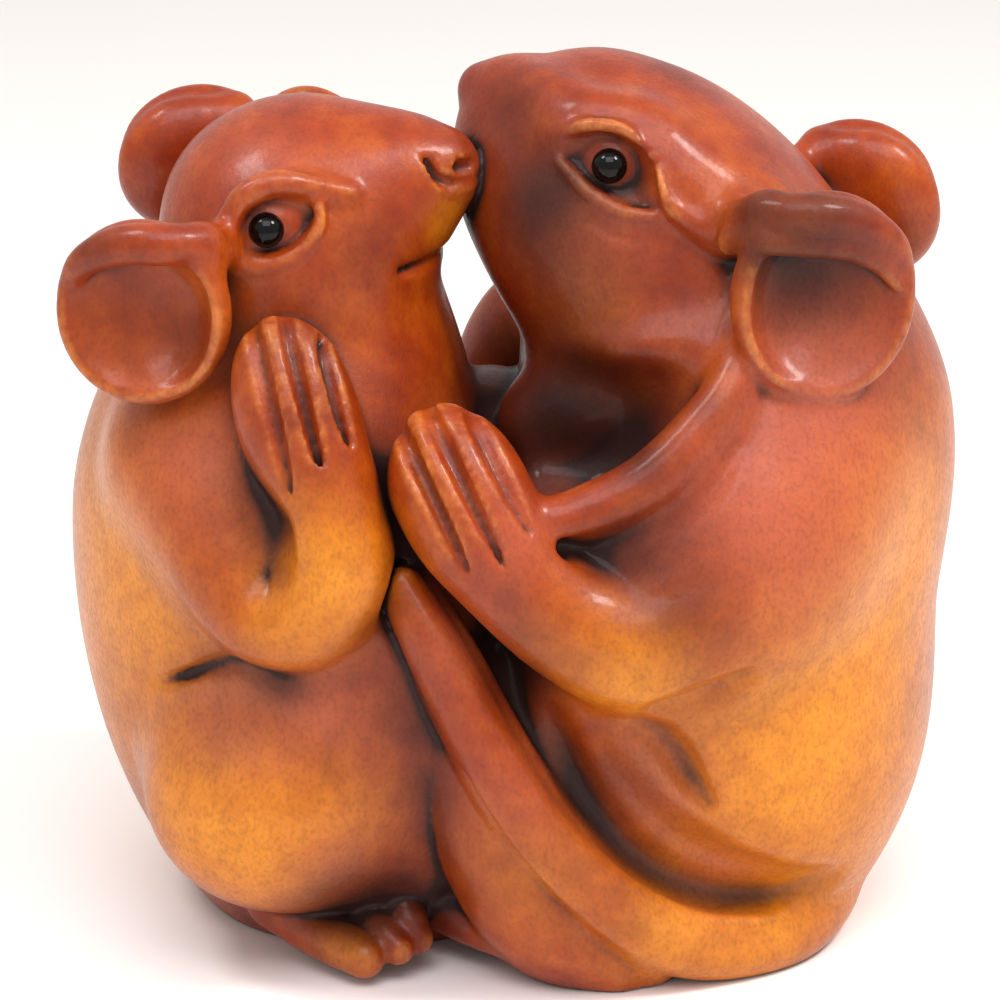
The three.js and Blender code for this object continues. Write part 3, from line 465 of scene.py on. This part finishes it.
tail = {
    "line": [(-4.5, -13.2, 20.4, 1.1), (-2.9, -14.2, 17.6, 1.4), (-0.8, -14.8, 13.5, 1.5),
             (1.5, -14.7, 9.3, 1.6), (4.8, -13.5, 5.2, 1.8), (8.9, -11.7, 2.3, 2), (13.1, -9.2, 1.6, 2.1),
             (15.4, -5.8, 1.9, 2.1), (16.3, -1, 2.4, 2.1), (15.5, 4, 3.4, 2.2)],
    "shown": 8,         # the far tail follows so many rows of the line
    "tucked": [(12.5, -2.5, 2.6, 1.5)],         # then its root turns in under the left rat
    "above": [(1.6, -13.8, 15.6, 0.3), (2.8, -13.2, 13, 0.6), (4.2, -13.1, 9.9, 0.75),
              (6.6, -12.8, 6.8, 0.8), (9.6, -12, 4.8, 0.8), (12.5, -10.9, 4, 0.65), (15.4, -9.9, 4, 0.3)],
    "below": [(-1.4, -15, 12, 0.15), (0.3, -15.2, 8.4, 0.35), (3.4, -14.7, 4, 0.4), (6, -13.7, 1.5, 0.3),
              (7.4, -13.2, -0.5, 0.3)],
    "free": 4,          # the tail's bed is cut under so many of its upper rows
    "groove": 0.15,     # how much wider than the tail its bed is cut
    "seat": 0.92,       # the wood behind the tail lies at this share of the tail's own distance out
    "crest": 0.42,      # a blunt edge along the tail, this share of its radius outwards
    "rise": 0.58,       # and this share upwards
    "steps": 5,
}
collar = [(11.2, -9, 33.1, 0.5), (10.8, -11.2, 30.1, 1.1), (9.3, -12.3, 27.9, 1.35),
          (6.8, -13.2, 25.6, 1.4), (3.8, -13.8, 24.3, 1.3), (2.3, -14.1, 24.1, 1.1)]
collarGroove = [(2.9, -14.6, 22.9, 0.5), (5.2, -15, 23.1, 0.75), (7.7, -14.9, 24.2, 0.75),
                (9.6, -14.3, 25.8, 0.5), (10.9, -13.4, 27.6, 0.25)]
throatHollow = [(-1.2, -9.8, 28, 2.8), (1.6, -10.4, 27.4, 3.9), (5, -11.9, 27.3, 3.8),
                (8.2, -13.2, 29.9, 2.6), (9.5, -12.8, 32.2, 1.2)]
throat = [(6.6, -5.2, 27.4, 2.4), (4.4, -5.4, 27, 2.6), (2.1, -5, 26.2, 2.2)]
farHollow = [(-1.4, -11, 28, 2.4), (3, -12.5, 28.5, 2.6)]
legBlends = {"thighCrease": 0.45, "leg": 1.2, "hollow": 1.2, "kneeCrease": 0.8, "toe": 0.3}
throatBlends = {"hollow": 1, "throat": 1.2, "collar": 0.6}
tailBlends = {"bed": 0.6, "seat": 0.5, "line": 0.2, "crest": 0.4, "edge": 0.8}


def carveTail(block, far):
    shown = tail["line"][:tail["shown"]] + tail["tucked"] if far else tail["line"]
    rows, steps = turned(shown, far), tail["steps"]
    seat = [(tail["seat"] * x, tail["seat"] * y, tail["seat"] * z + 0.8, r + 0.15) for x, y, z, r in rows]
    block.cut(limb(rows[:tail["free"]], steps, tail["groove"]), tailBlends["bed"])
    block.join(limb(seat, steps, tail["groove"]), tailBlends["seat"])
    block.join(limb(rows, steps), tailBlends["line"])
    lean = -tail["crest"] if far else tail["crest"]
    crest = [(x, y - lean * r, z + tail["rise"] * r, 0.5 * r) for x, y, z, r in rows]
    block.join(limb(crest, steps), tailBlends["crest"])
    for edge in ("above", "below"):
        block.cut(limb(turned(tail[edge], far), steps), tailBlends["edge"])


def carveRats():
    left, right = trunk(leftBody), trunk(rightBody)
    carveHead(left, leftHead)
    carveHead(right, rightHead)
    point, outward, blend = join["nape"]
    right.cut(beyond(point, outward), blend)
    for far in (False, True):
        sitting, lying = (right, left) if far else (left, right)
        middle = turned([thigh["centre"]], far)[0]
        tilt = -thigh["tilt"] if far else thigh["tilt"]
        sitting.join(egg(middle, thigh["radii"], (1, 0, tilt)), thigh["blend"])
        sitting.cut(limb(turned(thighCrease, far)), legBlends["thighCrease"])
        carveArm(sitting, raisedArm, far)
        lying.cut(limb(turned(farHollow if far else throatHollow, far)), throatBlends["hollow"])
        if not far:
            lying.join(limb(throat), throatBlends["throat"])
        for leg in (hindLeg, knee):
            lying.join(limb(turned(leg, far)), legBlends["leg"])
        lying.cut(limb(turned(kneeHollow, far)), legBlends["hollow"])
        lying.cut(limb(turned(kneeCrease, far)), legBlends["kneeCrease"])
        carveArm(lying, reachingArm, far)
        if not far:
            lying.join(limb(collar), throatBlends["collar"])
            lying.cut(limb(collarGroove), throatBlends["collar"])
    carveFace(left, leftHead)
    carveFace(right, rightHead)
    for name in ("leftNear", "leftFar"):
        carveEar(left, ears[name])
    for name in ("rightNear", "rightFar"):
        carveEar(right, ears[name])
    left.field = softMin(left.field, right.field, join["touch"])
    left.join(egg(*join["core"]), join["coreBlend"])
    for far in (False, True):
        for toe in foot:
            left.join(limb(turned(toe, far)), legBlends["toe"])
        carveTail(left, far)
    left.cut(beyond((0, 0, 0), (0, 0, -1)), 0)
    return left


def mendCubes(field):
    # where two sheets would meet in one cube of the grid, its faintest corner of wood is taken off
    corners = [(c >> 2, (c >> 1) & 1, c & 1) for c in range(8)]

    def joined(mask):
        members = [c for c in range(8) if mask >> c & 1]
        reached = members[:1]
        for c in reached:
            reached += [n for n in (c ^ 1, c ^ 2, c ^ 4) if mask >> n & 1 and n not in reached]
        return len(reached) == len(members)

    def crossed(mask):
        for p, q in ((1, 2), (2, 4), (1, 4)):
            for c in range(8):
                here, across, beside, below = (mask >> n & 1 for n in (c, c ^ p ^ q, c ^ p, c ^ q))
                if here == across and beside == below and here != beside:
                    return True
        return False
    bad = np.array([not joined(m) or not joined(255 - m) or crossed(m) for m in range(256)])
    for _ in range(grid["mends"]):
        inside = field < 0
        mask = np.zeros([n - 1 for n in field.shape], np.uint8)
        for c, (i, j, k) in enumerate(corners):
            part = tuple(slice(o, o + n - 1) for o, n in zip((i, j, k), field.shape))
            mask |= inside[part].astype(np.uint8) << c
        cubes = np.argwhere(bad[mask])
        if not len(cubes):
            break
        for cube in cubes:
            spots = [tuple(cube + corner) for corner in corners]
            wood = [s for s in spots if field[s] < 0]
            if wood:
                field[max(wood, key=lambda s: field[s])] = grid["shaved"]


def surface(block):
    # one point in each cube that the surface passes, joined across the grid edges it crosses
    field, size = block.field, np.array(block.field.shape)
    inside = field < 0
    stride = np.array([size[1] * size[2], size[2], 1])
    cubes, places, rings = [], [], []
    for axis in range(3):
        b, c = (axis + 1) % 3, (axis + 2) % 3
        first = [slice(1, -1)] * 3
        first[axis] = slice(0, -1)
        second = list(first)
        second[axis] = slice(1, None)
        edges = np.argwhere(inside[tuple(first)] != inside[tuple(second)])
        edges += np.array([0 if i == axis else 1 for i in range(3)])
        other = edges.copy()
        other[:, axis] += 1
        va = field[tuple(edges.T)]
        vb = field[tuple(other.T)]
        place = edges.astype(float)
        place[:, axis] += va / (va - vb)
        at = edges @ stride
        ring = np.stack([at, at - stride[b], at - stride[b] - stride[c], at - stride[c]], 1)
        ring[va >= 0] = ring[va >= 0][:, ::-1]
        rings.append(ring)
        cubes.append(ring.ravel())
        places.append(np.repeat(place, 4, axis=0))
    names, which = np.unique(np.concatenate(cubes), return_inverse=True)
    places = np.concatenate(places)
    count = np.bincount(which)
    points = np.stack([np.bincount(which, weights=places[:, i]) / count for i in range(3)], 1)
    quads = np.searchsorted(names, np.concatenate(rings))
    return block.low + points * block.cell, quads


def largest(points, quads):
    # the largest connected surface alone, which fills any pocket left inside the wood
    label = np.arange(len(points))
    a, b = quads.ravel(), np.roll(quads, 1, axis=1).ravel()
    while True:
        low = np.minimum(label[a], label[b])
        np.minimum.at(label, a, low)
        np.minimum.at(label, b, low)
        while (label != label[label]).any():
            label = label[label]
        if (label[a] == label[b]).all():
            break
    keep = label[quads[:, 0]] == np.bincount(label).argmax()
    used, quads = np.unique(quads[keep], return_inverse=True)
    return points[used], quads.reshape(-1, 4)


def blurred(values, reach, cell):
    # two passes of a running mean along each axis, close to a soft round brush of that reach
    half = max(1, round(reach / cell / 1.7))
    for _ in range(2):
        for axis in range(3):
            ends = [(0, 0)] * 3
            ends[axis] = (half + 1, half)
            total = np.cumsum(np.pad(values, ends, mode="edge"), axis=axis, dtype=np.float32)
            high = np.take(total, range(2 * half + 1, total.shape[axis]), axis=axis)
            low = np.take(total, range(0, total.shape[axis] - 2 * half - 1), axis=axis)
            values = (high - low) / (2 * half + 1)
    return values


def meshOf(name, points, polygons):
    mesh = bpy.data.meshes.new(name)
    corners = polygons.shape[1]
    mesh.vertices.add(len(points))
    mesh.vertices.foreach_set("co", (points * mm).astype(np.float32).ravel())
    mesh.loops.add(polygons.size)
    mesh.loops.foreach_set("vertex_index", polygons.astype(np.int32).ravel())
    mesh.polygons.add(len(polygons))
    mesh.polygons.foreach_set("loop_start", np.arange(0, polygons.size, corners, dtype=np.int32))
    mesh.update(calc_edges=True)
    mesh.validate()
    return mesh


room = {
    "low": np.array([cadLow[0], cadLow[1], 0]) / mm - grid["margin"],
    "high": np.array(cadHigh) / mm + grid["margin"],
}
room["low"][2] = grid["floor"]


def show(name, mesh):
    thing = bpy.data.objects.new(name, mesh)
    bpy.context.scene.collection.objects.link(thing)
    return thing


def carvedBody():
    print("carving the rats")
    block = carveRats()
    mendCubes(block.field)
    points, quads = largest(*surface(block))
    print("thinning", 2 * len(quads), "triangles")
    body = show("carvedRats", meshOf("carvedRats", points, quads))
    thin = body.modifiers.new("thin", "DECIMATE")
    thin.ratio = min(1, grid["faces"] / (2 * len(quads)))
    graph = bpy.context.evaluated_depsgraph_get()
    finished = bpy.data.meshes.new_from_object(body.evaluated_get(graph))
    body.modifiers.clear()
    body.data = finished
    finished.name = "carvedRats"
    finished.polygons.foreach_set("use_smooth", np.ones(len(finished.polygons), bool))
    print("triangles", len(finished.polygons))
    measureWood(block, finished)
    return body


# Where handling and the carver's stain have left their mark, and where sheen and shade are painted on: x,
# y, z, reach and strength on the front and sides, repeated on the back after half a turn.
patinaSheenAndShade = {
    "goldenWear": [
        (-7.7, -16.3, 22, 3, 0.95), (-9, -15.7, 25.2, 1.6, 0.1), (-9.8, -15, 19, 2.4, 0.6),
        (-14, -13.4, 9.6, 4.2, 0.95), (-11.6, -14.4, 7.6, 3.6, 0.8), (-9.6, -14.1, 12, 2.4, 0.1),
        (-7.3, -14, 9.4, 2.6, 0.4), (-18.5, -7.7, 20, 5, 0.75), (-16.4, -10, 17, 3.6, 0.6),
        (-17.5, -4, 12, 6, 0.6), (14.1, -12.9, 10.9, 6, 0.95), (16.5, -11.2, 15.2, 6, 0.9),
        (18.9, -8.5, 20.5, 5.5, 0.9), (17, -6, 6, 6, 0.8), (6.2, -16.4, 17, 2.6, 0.95),
        (2.7, -16.9, 18.8, 3, 0.2), (8.5, -14, 3.2, 3, 0.85), (12.4, -11.4, 1.4, 3, 0.8),
        (4.6, -8.6, 33, 2, 0.2), (-2.4, -5.6, 36, 1.3, 0.6), (6.5, -6.6, 36.4, 1, 0.4),
        (1.8, -15, 7, 3.6, 0.35), (-7.6, -12.6, 2, 1.6, 0.5), (18.5, 4, 22, 8, 0.5),
    ],
    # painted sheen on the shoulders and hand backs, and painted shade on the undersides, the valleys and
    # beside the tail, in a violet tone
    "violetSheenAndShade": [
        (-13.1, -12.6, 13.7, 3, 0.85), (-9, -13.5, 14.4, 2.4, 0.6), (-14.7, -12.2, 25.9, 4, 0.55),
        (13, -14.8, 23.6, 4.2, 0.8), (15.4, -12, 28, 5, 0.8), (4.6, -8.4, 37, 3, 0.4),
        (7, -13.5, 10.6, 2.8, 0.8), (-1.8, -14.5, 18.4, 2.2, 0.6), (1, -14.6, 11.5, 2.2, 0.5),
        (-8, -14, 6.8, 2, 0.6), (14.4, -11, 32, 2.6, 0.7), (0.9, -16.5, 24, 2, 0.6),
        (-11, -7, 39.5, 2.5, 0.4), (10.5, -12, 5.6, 2.2, 0.7),
    ],
    # the carver's dark stain in sockets, grooves and hollows, together with painted shade in the throat,
    # under the thigh, on the strap's upper edge and round the ears
    "deepStainAndShade": [
        (-6, -8.4, 35.4, 2, 0.35), (0.4, -3.6, 40.6, 2.4, 0.5), (1.9, -7.1, 37.6, 2.6, 0.8),
        (2.6, -7.4, 34.5, 2, 0.3), (13.8, -10.6, 35, 2.3, 0.85), (11.9, -11.6, 36, 1.4, 0.7),
        (2.8, -7.5, 27.4, 3.6, 0.95), (0, -8.5, 25, 3, 0.9), (5.6, -8.4, 25.4, 3, 0.9),
        (7.6, -11.5, 27.5, 1.6, 0.5), (-5.7, -10.4, 4.7, 2.4, 0.95), (-8, -11, 3.6, 1.5, 0.6),
        (8.2, -15.9, 20.9, 2.8, 0.3), (-4.2, -13, 15.5, 2.6, 0.5), (-3.6, -12.5, 10, 1.6, 0.4),
        (6.4, -14.6, 23, 2, 0.6), (1.2, -14, 16.4, 2, 0.6), (-10.9, -12.6, 25.4, 1.9, 0.7),
        (-10, -13.2, 16.1, 1.4, 0.75), (-3, -10, 3.4, 1.6, 0.8), (-13.6, -10.4, 31.6, 1.6, 0.4),
        (-9, -11.5, 31.5, 2.4, 0.3), (-9.1, 1.5, 41.8, 1.6, 0.35), (3.5, -7.4, 36, 4.6, 0.3),
        (15.2, -10, 33.4, 3.2, 0.4), (13, -11.5, 37.6, 2.6, 0.35), (6.5, -8.8, 29.8, 2.6, 0.3),
        (-14.9, -11, 15.2, 1.1, 0.2), (-13.4, -12.3, 16.4, 1.1, 0.45), (-11.8, -13.4, 16.8, 1.1, 0.5),
        (-10.4, -13.8, 16.2, 1.2, 0.5), (-3.9, -13.6, 13.6, 1.5, 0.5), (-3.5, -13.2, 10.6, 1.3, 0.5),
        (-3.2, -12.6, 7.6, 1.4, 0.5), (-6.5, -10.5, 3.6, 2.2, 0.6), (-9, -12.3, 4.6, 1.7, 0.35),
        (11, -11.4, 38.4, 1.7, 0.6), (14.6, -12, 38, 2, 0.6), (-13.1, -12.6, 13.7, 2.6, 0.3),
        (7, -13.5, 10.6, 2.2, 0.3), (-10.4, -14, 23.4, 1.2, 0.6), (-10, -14.2, 21.4, 1, 0.5),
        (6.4, -13.9, 26.9, 1.5, 0.7), (2.6, -7.6, 38.3, 1.6, 0.5), (-8, -13.3, 5.8, 2, 0.5),
        (0.6, -6.5, 35.6, 2.4, 0.35), (-10.4, -12.2, 31, 1.2, 0.4), (9.6, -12.8, 29.2, 1.2, 0.4),
        (5, -14.4, 22.6, 1.4, 0.6), (-18.4, -12, 36, 1.6, 0.35), (3.5, -7.5, 30.5, 2.4, 0.45),
        (4.8, -13.2, 11, 1.6, 0.35),
    ],
}


# hollows measured at three reaches: the finest marks the stained grooves, the two wider ones darken the
# colour as painted shade
hollowReach = {"fineHollow": 0.45, "wideHollow": 1.6, "deepHollow": 4.5}


def measureWood(block, mesh):
    # how shut in or how exposed each spot is, by how much wood lies round it at each reach
    points = np.zeros(len(mesh.vertices) * 3, np.float32)
    mesh.vertices.foreach_get("co", points)
    points = points.reshape(-1, 3) / mm
    wood = np.clip(0.5 - block.field / block.cell, 0, 1).astype(np.float32)
    wood[:, :, block.lines[2] < 0] = wood[:, :, [np.searchsorted(block.lines[2], 0)]]
    for name, reach in hollowReach.items():
        share = block.sample(blurred(wood, reach, block.cell), points)
        layer = mesh.attributes.new(name, "FLOAT", "POINT")
        layer.data.foreach_set("value", (share - 0.5).astype(np.float32))
    # then the spots of wear, stain, painted sheen and painted shade
    for name, spots in patinaSheenAndShade.items():
        bare = np.ones(len(points), np.float32)
        for x, y, z, reach, strength in spots:
            for place in ((x, y, z), turned([(x, y, z)], True)[0]):
                bare *= 1 - strength * np.exp(-((points - place) ** 2).sum(1) / reach ** 2)
        layer = mesh.attributes.new(name, "FLOAT", "POINT")
        layer.data.foreach_set("value", 1 - bare)


def linear(hexColour):
    # sRGB hex to linear
    parts = [int(hexColour[i:i + 2], 16) / 255 for i in (0, 2, 4)]
    return (*[p / 12.92 if p <= 0.04045 else ((p + 0.055) / 1.055) ** 2.4 for p in parts], 1)


def addNode(tree, kind, settings=None, **links):
    # a node with its settings, and its inputs as values or as other nodes' outputs; an input is given by
    # name, with _ for a space, or by number, as i0 or i1
    node = tree.nodes.new(kind)
    for key, value in (settings or {}).items():
        setattr(node, key, value)
    for key, value in links.items():
        numbered = key[0] == "i" and key[1:].isdigit()
        socket = node.inputs[int(key[1:]) if numbered else key.replace("_", " ")]
        if isinstance(value, bpy.types.NodeSocket):
            tree.links.new(value, socket)
        else:
            socket.default_value = value
    return node


body = carvedBody()
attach(body, "root")
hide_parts("carved_rats")


glassBead = {
    "rounding": 4,       # subdivisions of the ball
    "colour": "060505",
    "dust": 0.3,         # mm across a speck of haze
    "rough": (0.04, 0.16),            # clean glass, and under the haze
    "gloss": (1.45, 0.25),            # its IOR and specular level
}


def beadBall(name, node):
    low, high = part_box(node)
    middle, radius = (low + high) / 2, (high - low).length / 2 / math.sqrt(3)
    shape = bmesh.new()
    bmesh.ops.create_icosphere(shape, subdivisions=glassBead["rounding"], radius=radius)
    bmesh.ops.translate(shape, verts=shape.verts, vec=middle)
    mesh = bpy.data.meshes.new(name)
    shape.to_mesh(mesh)
    shape.free()
    mesh.polygons.foreach_set("use_smooth", np.ones(len(mesh.polygons), bool))
    return show(name, mesh)


beads = []
for name, node in (("leftNearBead", "left_rat_near_eye"), ("leftFarBead", "left_rat_far_eye"),
                   ("rightNearBead", "right_rat_near_eye"), ("rightFarBead", "right_rat_far_eye")):
    bead = beadBall(name, node)
    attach(bead, "root")
    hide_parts(node)
    beads.append(bead)


# Boxwood, knife-carved, stained brown, then waxed and rubbed by years of handling. The eye gets a satin
# gloss with soft lights, golden wood where the stain has worn off the high places, near black stain in
# the grooves with painted shade darkening the wider hollows, and a painted violet sheen and shade in
# places.
boxwood = {
    "stain": [(0.34, "741E02"), (0.5, "8E3003"), (0.68, "A64808")],
    # violet is the tone of the painted sheen and painted shade; deep is the near black of the stain in
    # the grooves and of the painted shade in the hollows
    "golden": "D88618", "violet": "B65C42", "worn": "CE7E3C", "fleck": "5A2006", "deep": "240802",
    "cloud": 4.5,        # mm across a patch of lighter or darker stain
    "patch": 1.1,        # mm across a worn or dusty spot
    "fibre": 0.2,        # mm across a line of grain
    "pore": 0.16,        # mm across a pore, drawn larger than boxwood's own so that it shows
    "stretch": 0.7,      # a fleck of grain is as wide as this share of its length
    "relief": 0.03,      # mm from the bottom of a pore to the top of a fibre
    "bump": 0.35,        # the relief's strength
    "gloss": (1.5, 0.26),             # the wood's IOR and specular level
    "coat": (0.2, 0.15, 1.45),        # the wax: how much, how rough, and its IOR
}


def carvedWood():
    material = bpy.data.materials.new("stainedBoxwood")
    material.use_nodes = True
    tree = material.node_tree
    finish = tree.nodes["Principled BSDF"]
    place = addNode(tree, "ShaderNodeTexCoord").outputs["Object"]
    grain = addNode(tree, "ShaderNodeMapping", {}, Vector=place, Scale=(1, 1, boxwood["stretch"]))
    along = grain.outputs["Vector"]

    source = {}
    for name, vector, detail in (("cloud", place, 3.0), ("patch", place, 3.0), ("fibre", along, 4.0),
                                 ("pore", along, 2.0)):
        noise = addNode(tree, "ShaderNodeTexNoise", {}, Vector=vector, Detail=detail,
                        Scale=1 / (boxwood[name] * mm))
        source[name] = noise.outputs["Fac"]
    for name in (*hollowReach, *patinaSheenAndShade):
        source[name] = addNode(tree, "ShaderNodeAttribute", {"attribute_name": name}).outputs["Fac"]

    # each measure, softened between a low and a high value to a share that starts and ends as given
    for name, origin, low, high, start, end in (
        ("goldenShare", "patch", 0.3, 0.7, 0.75, 1.0),
        ("edgeShare", "fineHollow", -0.04, -0.16, 0.0, 1.0),
        ("edgePatch", "patch", 0.35, 0.6, 0.15, 0.6),
        ("fleckShare", "fibre", 0.4, 0.75, 0.0, 0.3),
        ("fineDirt", "fineHollow", 0.03, 0.2, 0.0, 0.8),
        # painted shade: the wider and the broad hollows are darkened as if shade fell in them
        ("wideShade", "wideHollow", 0.06, 0.26, 0.0, 0.8),
        ("deepShade", "deepHollow", 0.1, 0.32, 0.0, 0.85),
        ("satin", "fibre", 0.3, 0.7, 0.34, 0.44),
        ("poreDepth", "pore", 0.35, 0.5, 0.0, 0.4),
    ):
        share = addNode(tree, "ShaderNodeMapRange", {"interpolation_type": "SMOOTHSTEP"},
                        Value=source[origin], From_Min=low, From_Max=high, To_Min=start, To_Max=end)
        source[name] = share.outputs["Result"]

    for name, how, first, second in (
        ("cloudPart", "MULTIPLY", "cloud", 0.7),
        ("patchPart", "MULTIPLY", "patch", 0.3),
        ("stainDepth", "ADD", "cloudPart", "patchPart"),
        ("golden", "MULTIPLY", "goldenWear", "goldenShare"),
        ("violet", "MULTIPLY", "violetSheenAndShade", 0.7),
        ("worn", "MULTIPLY", "edgeShare", "edgePatch"),
        # the stain in the fine grooves plus the painted shade of the wider hollows, then the dark spots
        # of stain and painted shade; together they darken the colour and dull the gloss
        ("openShade", "ADD", "wideShade", "deepShade"),
        ("hollow", "ADD", "fineDirt", "openShade"),
        ("stainAndShade", "ADD", "hollow", "deepStainAndShade"),
        ("dull", "MULTIPLY", "stainAndShade", 0.35),
        ("rough", "ADD", "satin", "dull"),
        ("fibrePart", "MULTIPLY", "fibre", 0.6),
        ("height", "ADD", "fibrePart", "poreDepth"),
    ):
        result = addNode(tree, "ShaderNodeMath", {"operation": how, "use_clamp": True}, i0=source[first],
                         i1=source.get(second, second))
        source[name] = result.outputs[0]

    stain = addNode(tree, "ShaderNodeValToRGB", {}, Fac=source["stainDepth"])
    ramp = stain.color_ramp.elements
    ramp.new(0.5)
    for element, (position, colour) in zip(ramp, boxwood["stain"]):
        element.position, element.color = position, linear(colour)
    colour = stain.outputs["Color"]
    # the violet layer is a painted sheen and painted shade; the near-black layer is stain in the grooves
    # and painted shade in the hollows
    for share, tone in (("golden", "golden"), ("violet", "violet"), ("worn", "worn"),
                        ("fleckShare", "fleck"), ("stainAndShade", "deep")):
        layer = addNode(tree, "ShaderNodeMix", {"data_type": "RGBA"}, i0=source[share], i6=colour,
                        i7=linear(boxwood[tone]))
        colour = layer.outputs[2]
    bump = addNode(tree, "ShaderNodeBump", {}, Strength=boxwood["bump"], Height=source["height"],
                   Distance=boxwood["relief"] * mm)
    tree.links.new(colour, finish.inputs["Base Color"])
    tree.links.new(source["rough"], finish.inputs["Roughness"])
    tree.links.new(bump.outputs["Normal"], finish.inputs["Normal"])
    for name, value in zip(("IOR", "Specular IOR Level", "Coat Weight", "Coat Roughness", "Coat IOR"),
                           boxwood["gloss"] + boxwood["coat"]):
        finish.inputs[name].default_value = value
    return material


# Black glass beads, fire-polished: almost no colour of their own and one small sharp light.
def beadGlass():
    material = bpy.data.materials.new("blackGlass")
    material.use_nodes = True
    tree = material.node_tree
    finish = tree.nodes["Principled BSDF"]
    place = addNode(tree, "ShaderNodeTexCoord").outputs["Object"]
    dust = addNode(tree, "ShaderNodeTexNoise", {}, Vector=place, Scale=1 / (glassBead["dust"] * mm),
                   Detail=3.0)
    clean, hazed = glassBead["rough"]
    haze = addNode(tree, "ShaderNodeMapRange", {}, Value=dust.outputs["Fac"], From_Min=0.35,
                   From_Max=0.75, To_Min=clean, To_Max=hazed)
    finish.inputs["Base Color"].default_value = linear(glassBead["colour"])
    for name, value in zip(("IOR", "Specular IOR Level"), glassBead["gloss"]):
        finish.inputs[name].default_value = value
    tree.links.new(haze.outputs["Result"], finish.inputs["Roughness"])
    return material


print("boxwood and glass")
body.data.materials.append(carvedWood())
glass = beadGlass()
for bead in beads:
    bead.data.materials.append(glass)


sheet = {
    "corners": [(-900, -500, 0), (900, -500, 0), (900, 2500, 0), (-900, 2500, 0)],
    "colour": "F8F3EE", "rough": 0.9,
}


def makeStage():
    sheetMesh = meshOf("table", np.array(sheet["corners"], float), np.array([[0, 1, 2, 3]]))
    table = show("table", sheetMesh)
    paper = bpy.data.materials.new("whitePaper")
    paper.use_nodes = True
    finish = paper.node_tree.nodes["Principled BSDF"]
    finish.inputs["Base Color"].default_value = linear(sheet["colour"])
    finish.inputs["Roughness"].default_value = sheet["rough"]
    sheetMesh.materials.append(paper)


lights = {      # place, width and depth, watts and colour; all are turned to the middle of the carving
    "window": ((132, -55, 215), (56, 56), 0.38, "FFFAF6"),
    "ceiling": ((0, -120, 210), (170, 130), 0.3, "F8F6FF"),
    "skylight": ((-115, -25, 215), (50, 50), 0.14, "FFFFFF"),
}
aim = (0, 0, 20)
daylight = {"colour": "FFFFFF", "strength": 0.78}


def softbox(name, place, size, power, colour):
    data = bpy.data.lights.new(name, "AREA")
    data.shape = "RECTANGLE"
    data.size, data.size_y = (s * mm for s in size)
    data.energy = power
    data.color = linear(colour)[:3]
    lamp = bpy.data.objects.new(name, data)
    lamp.location = Vector(place) * mm
    lamp.rotation_euler = (Vector(aim) * mm - lamp.location).to_track_quat("-Z", "Y").to_euler()
    bpy.context.scene.collection.objects.link(lamp)


def makeDaylight():
    world = bpy.data.worlds.new("room")
    world.use_nodes = True
    sky = world.node_tree.nodes["Background"]
    sky.inputs["Color"].default_value = linear(daylight["colour"])
    sky.inputs["Strength"].default_value = daylight["strength"]
    bpy.context.scene.world = world
    bpy.context.scene.view_settings.view_transform = "Standard"


camera = {"target": (0, 0, 20.5), "distance": 200, "elevation": 18, "sensor": 36,
          "width": 49.3}      # mm across the view at the target


def makeCamera():
    data = bpy.data.cameras.new("camera")
    data.sensor_width = camera["sensor"]
    data.lens = camera["sensor"] * camera["distance"] / camera["width"]
    data.clip_start, data.clip_end = 0.01, 10
    view = bpy.data.objects.new("camera", data)
    tilt = math.radians(camera["elevation"])
    back = Vector((0, -math.cos(tilt), math.sin(tilt)))
    view.location = (Vector(camera["target"]) + back * camera["distance"]) * mm
    view.rotation_euler = (-back).to_track_quat("-Z", "Y").to_euler()
    bpy.context.scene.collection.objects.link(view)
    bpy.context.scene.camera = view


print("stage, light and camera")
makeStage()
for name, (place, size, power, colour) in lights.items():
    softbox(name, place, size, power, colour)
makeDaylight()
makeCamera()
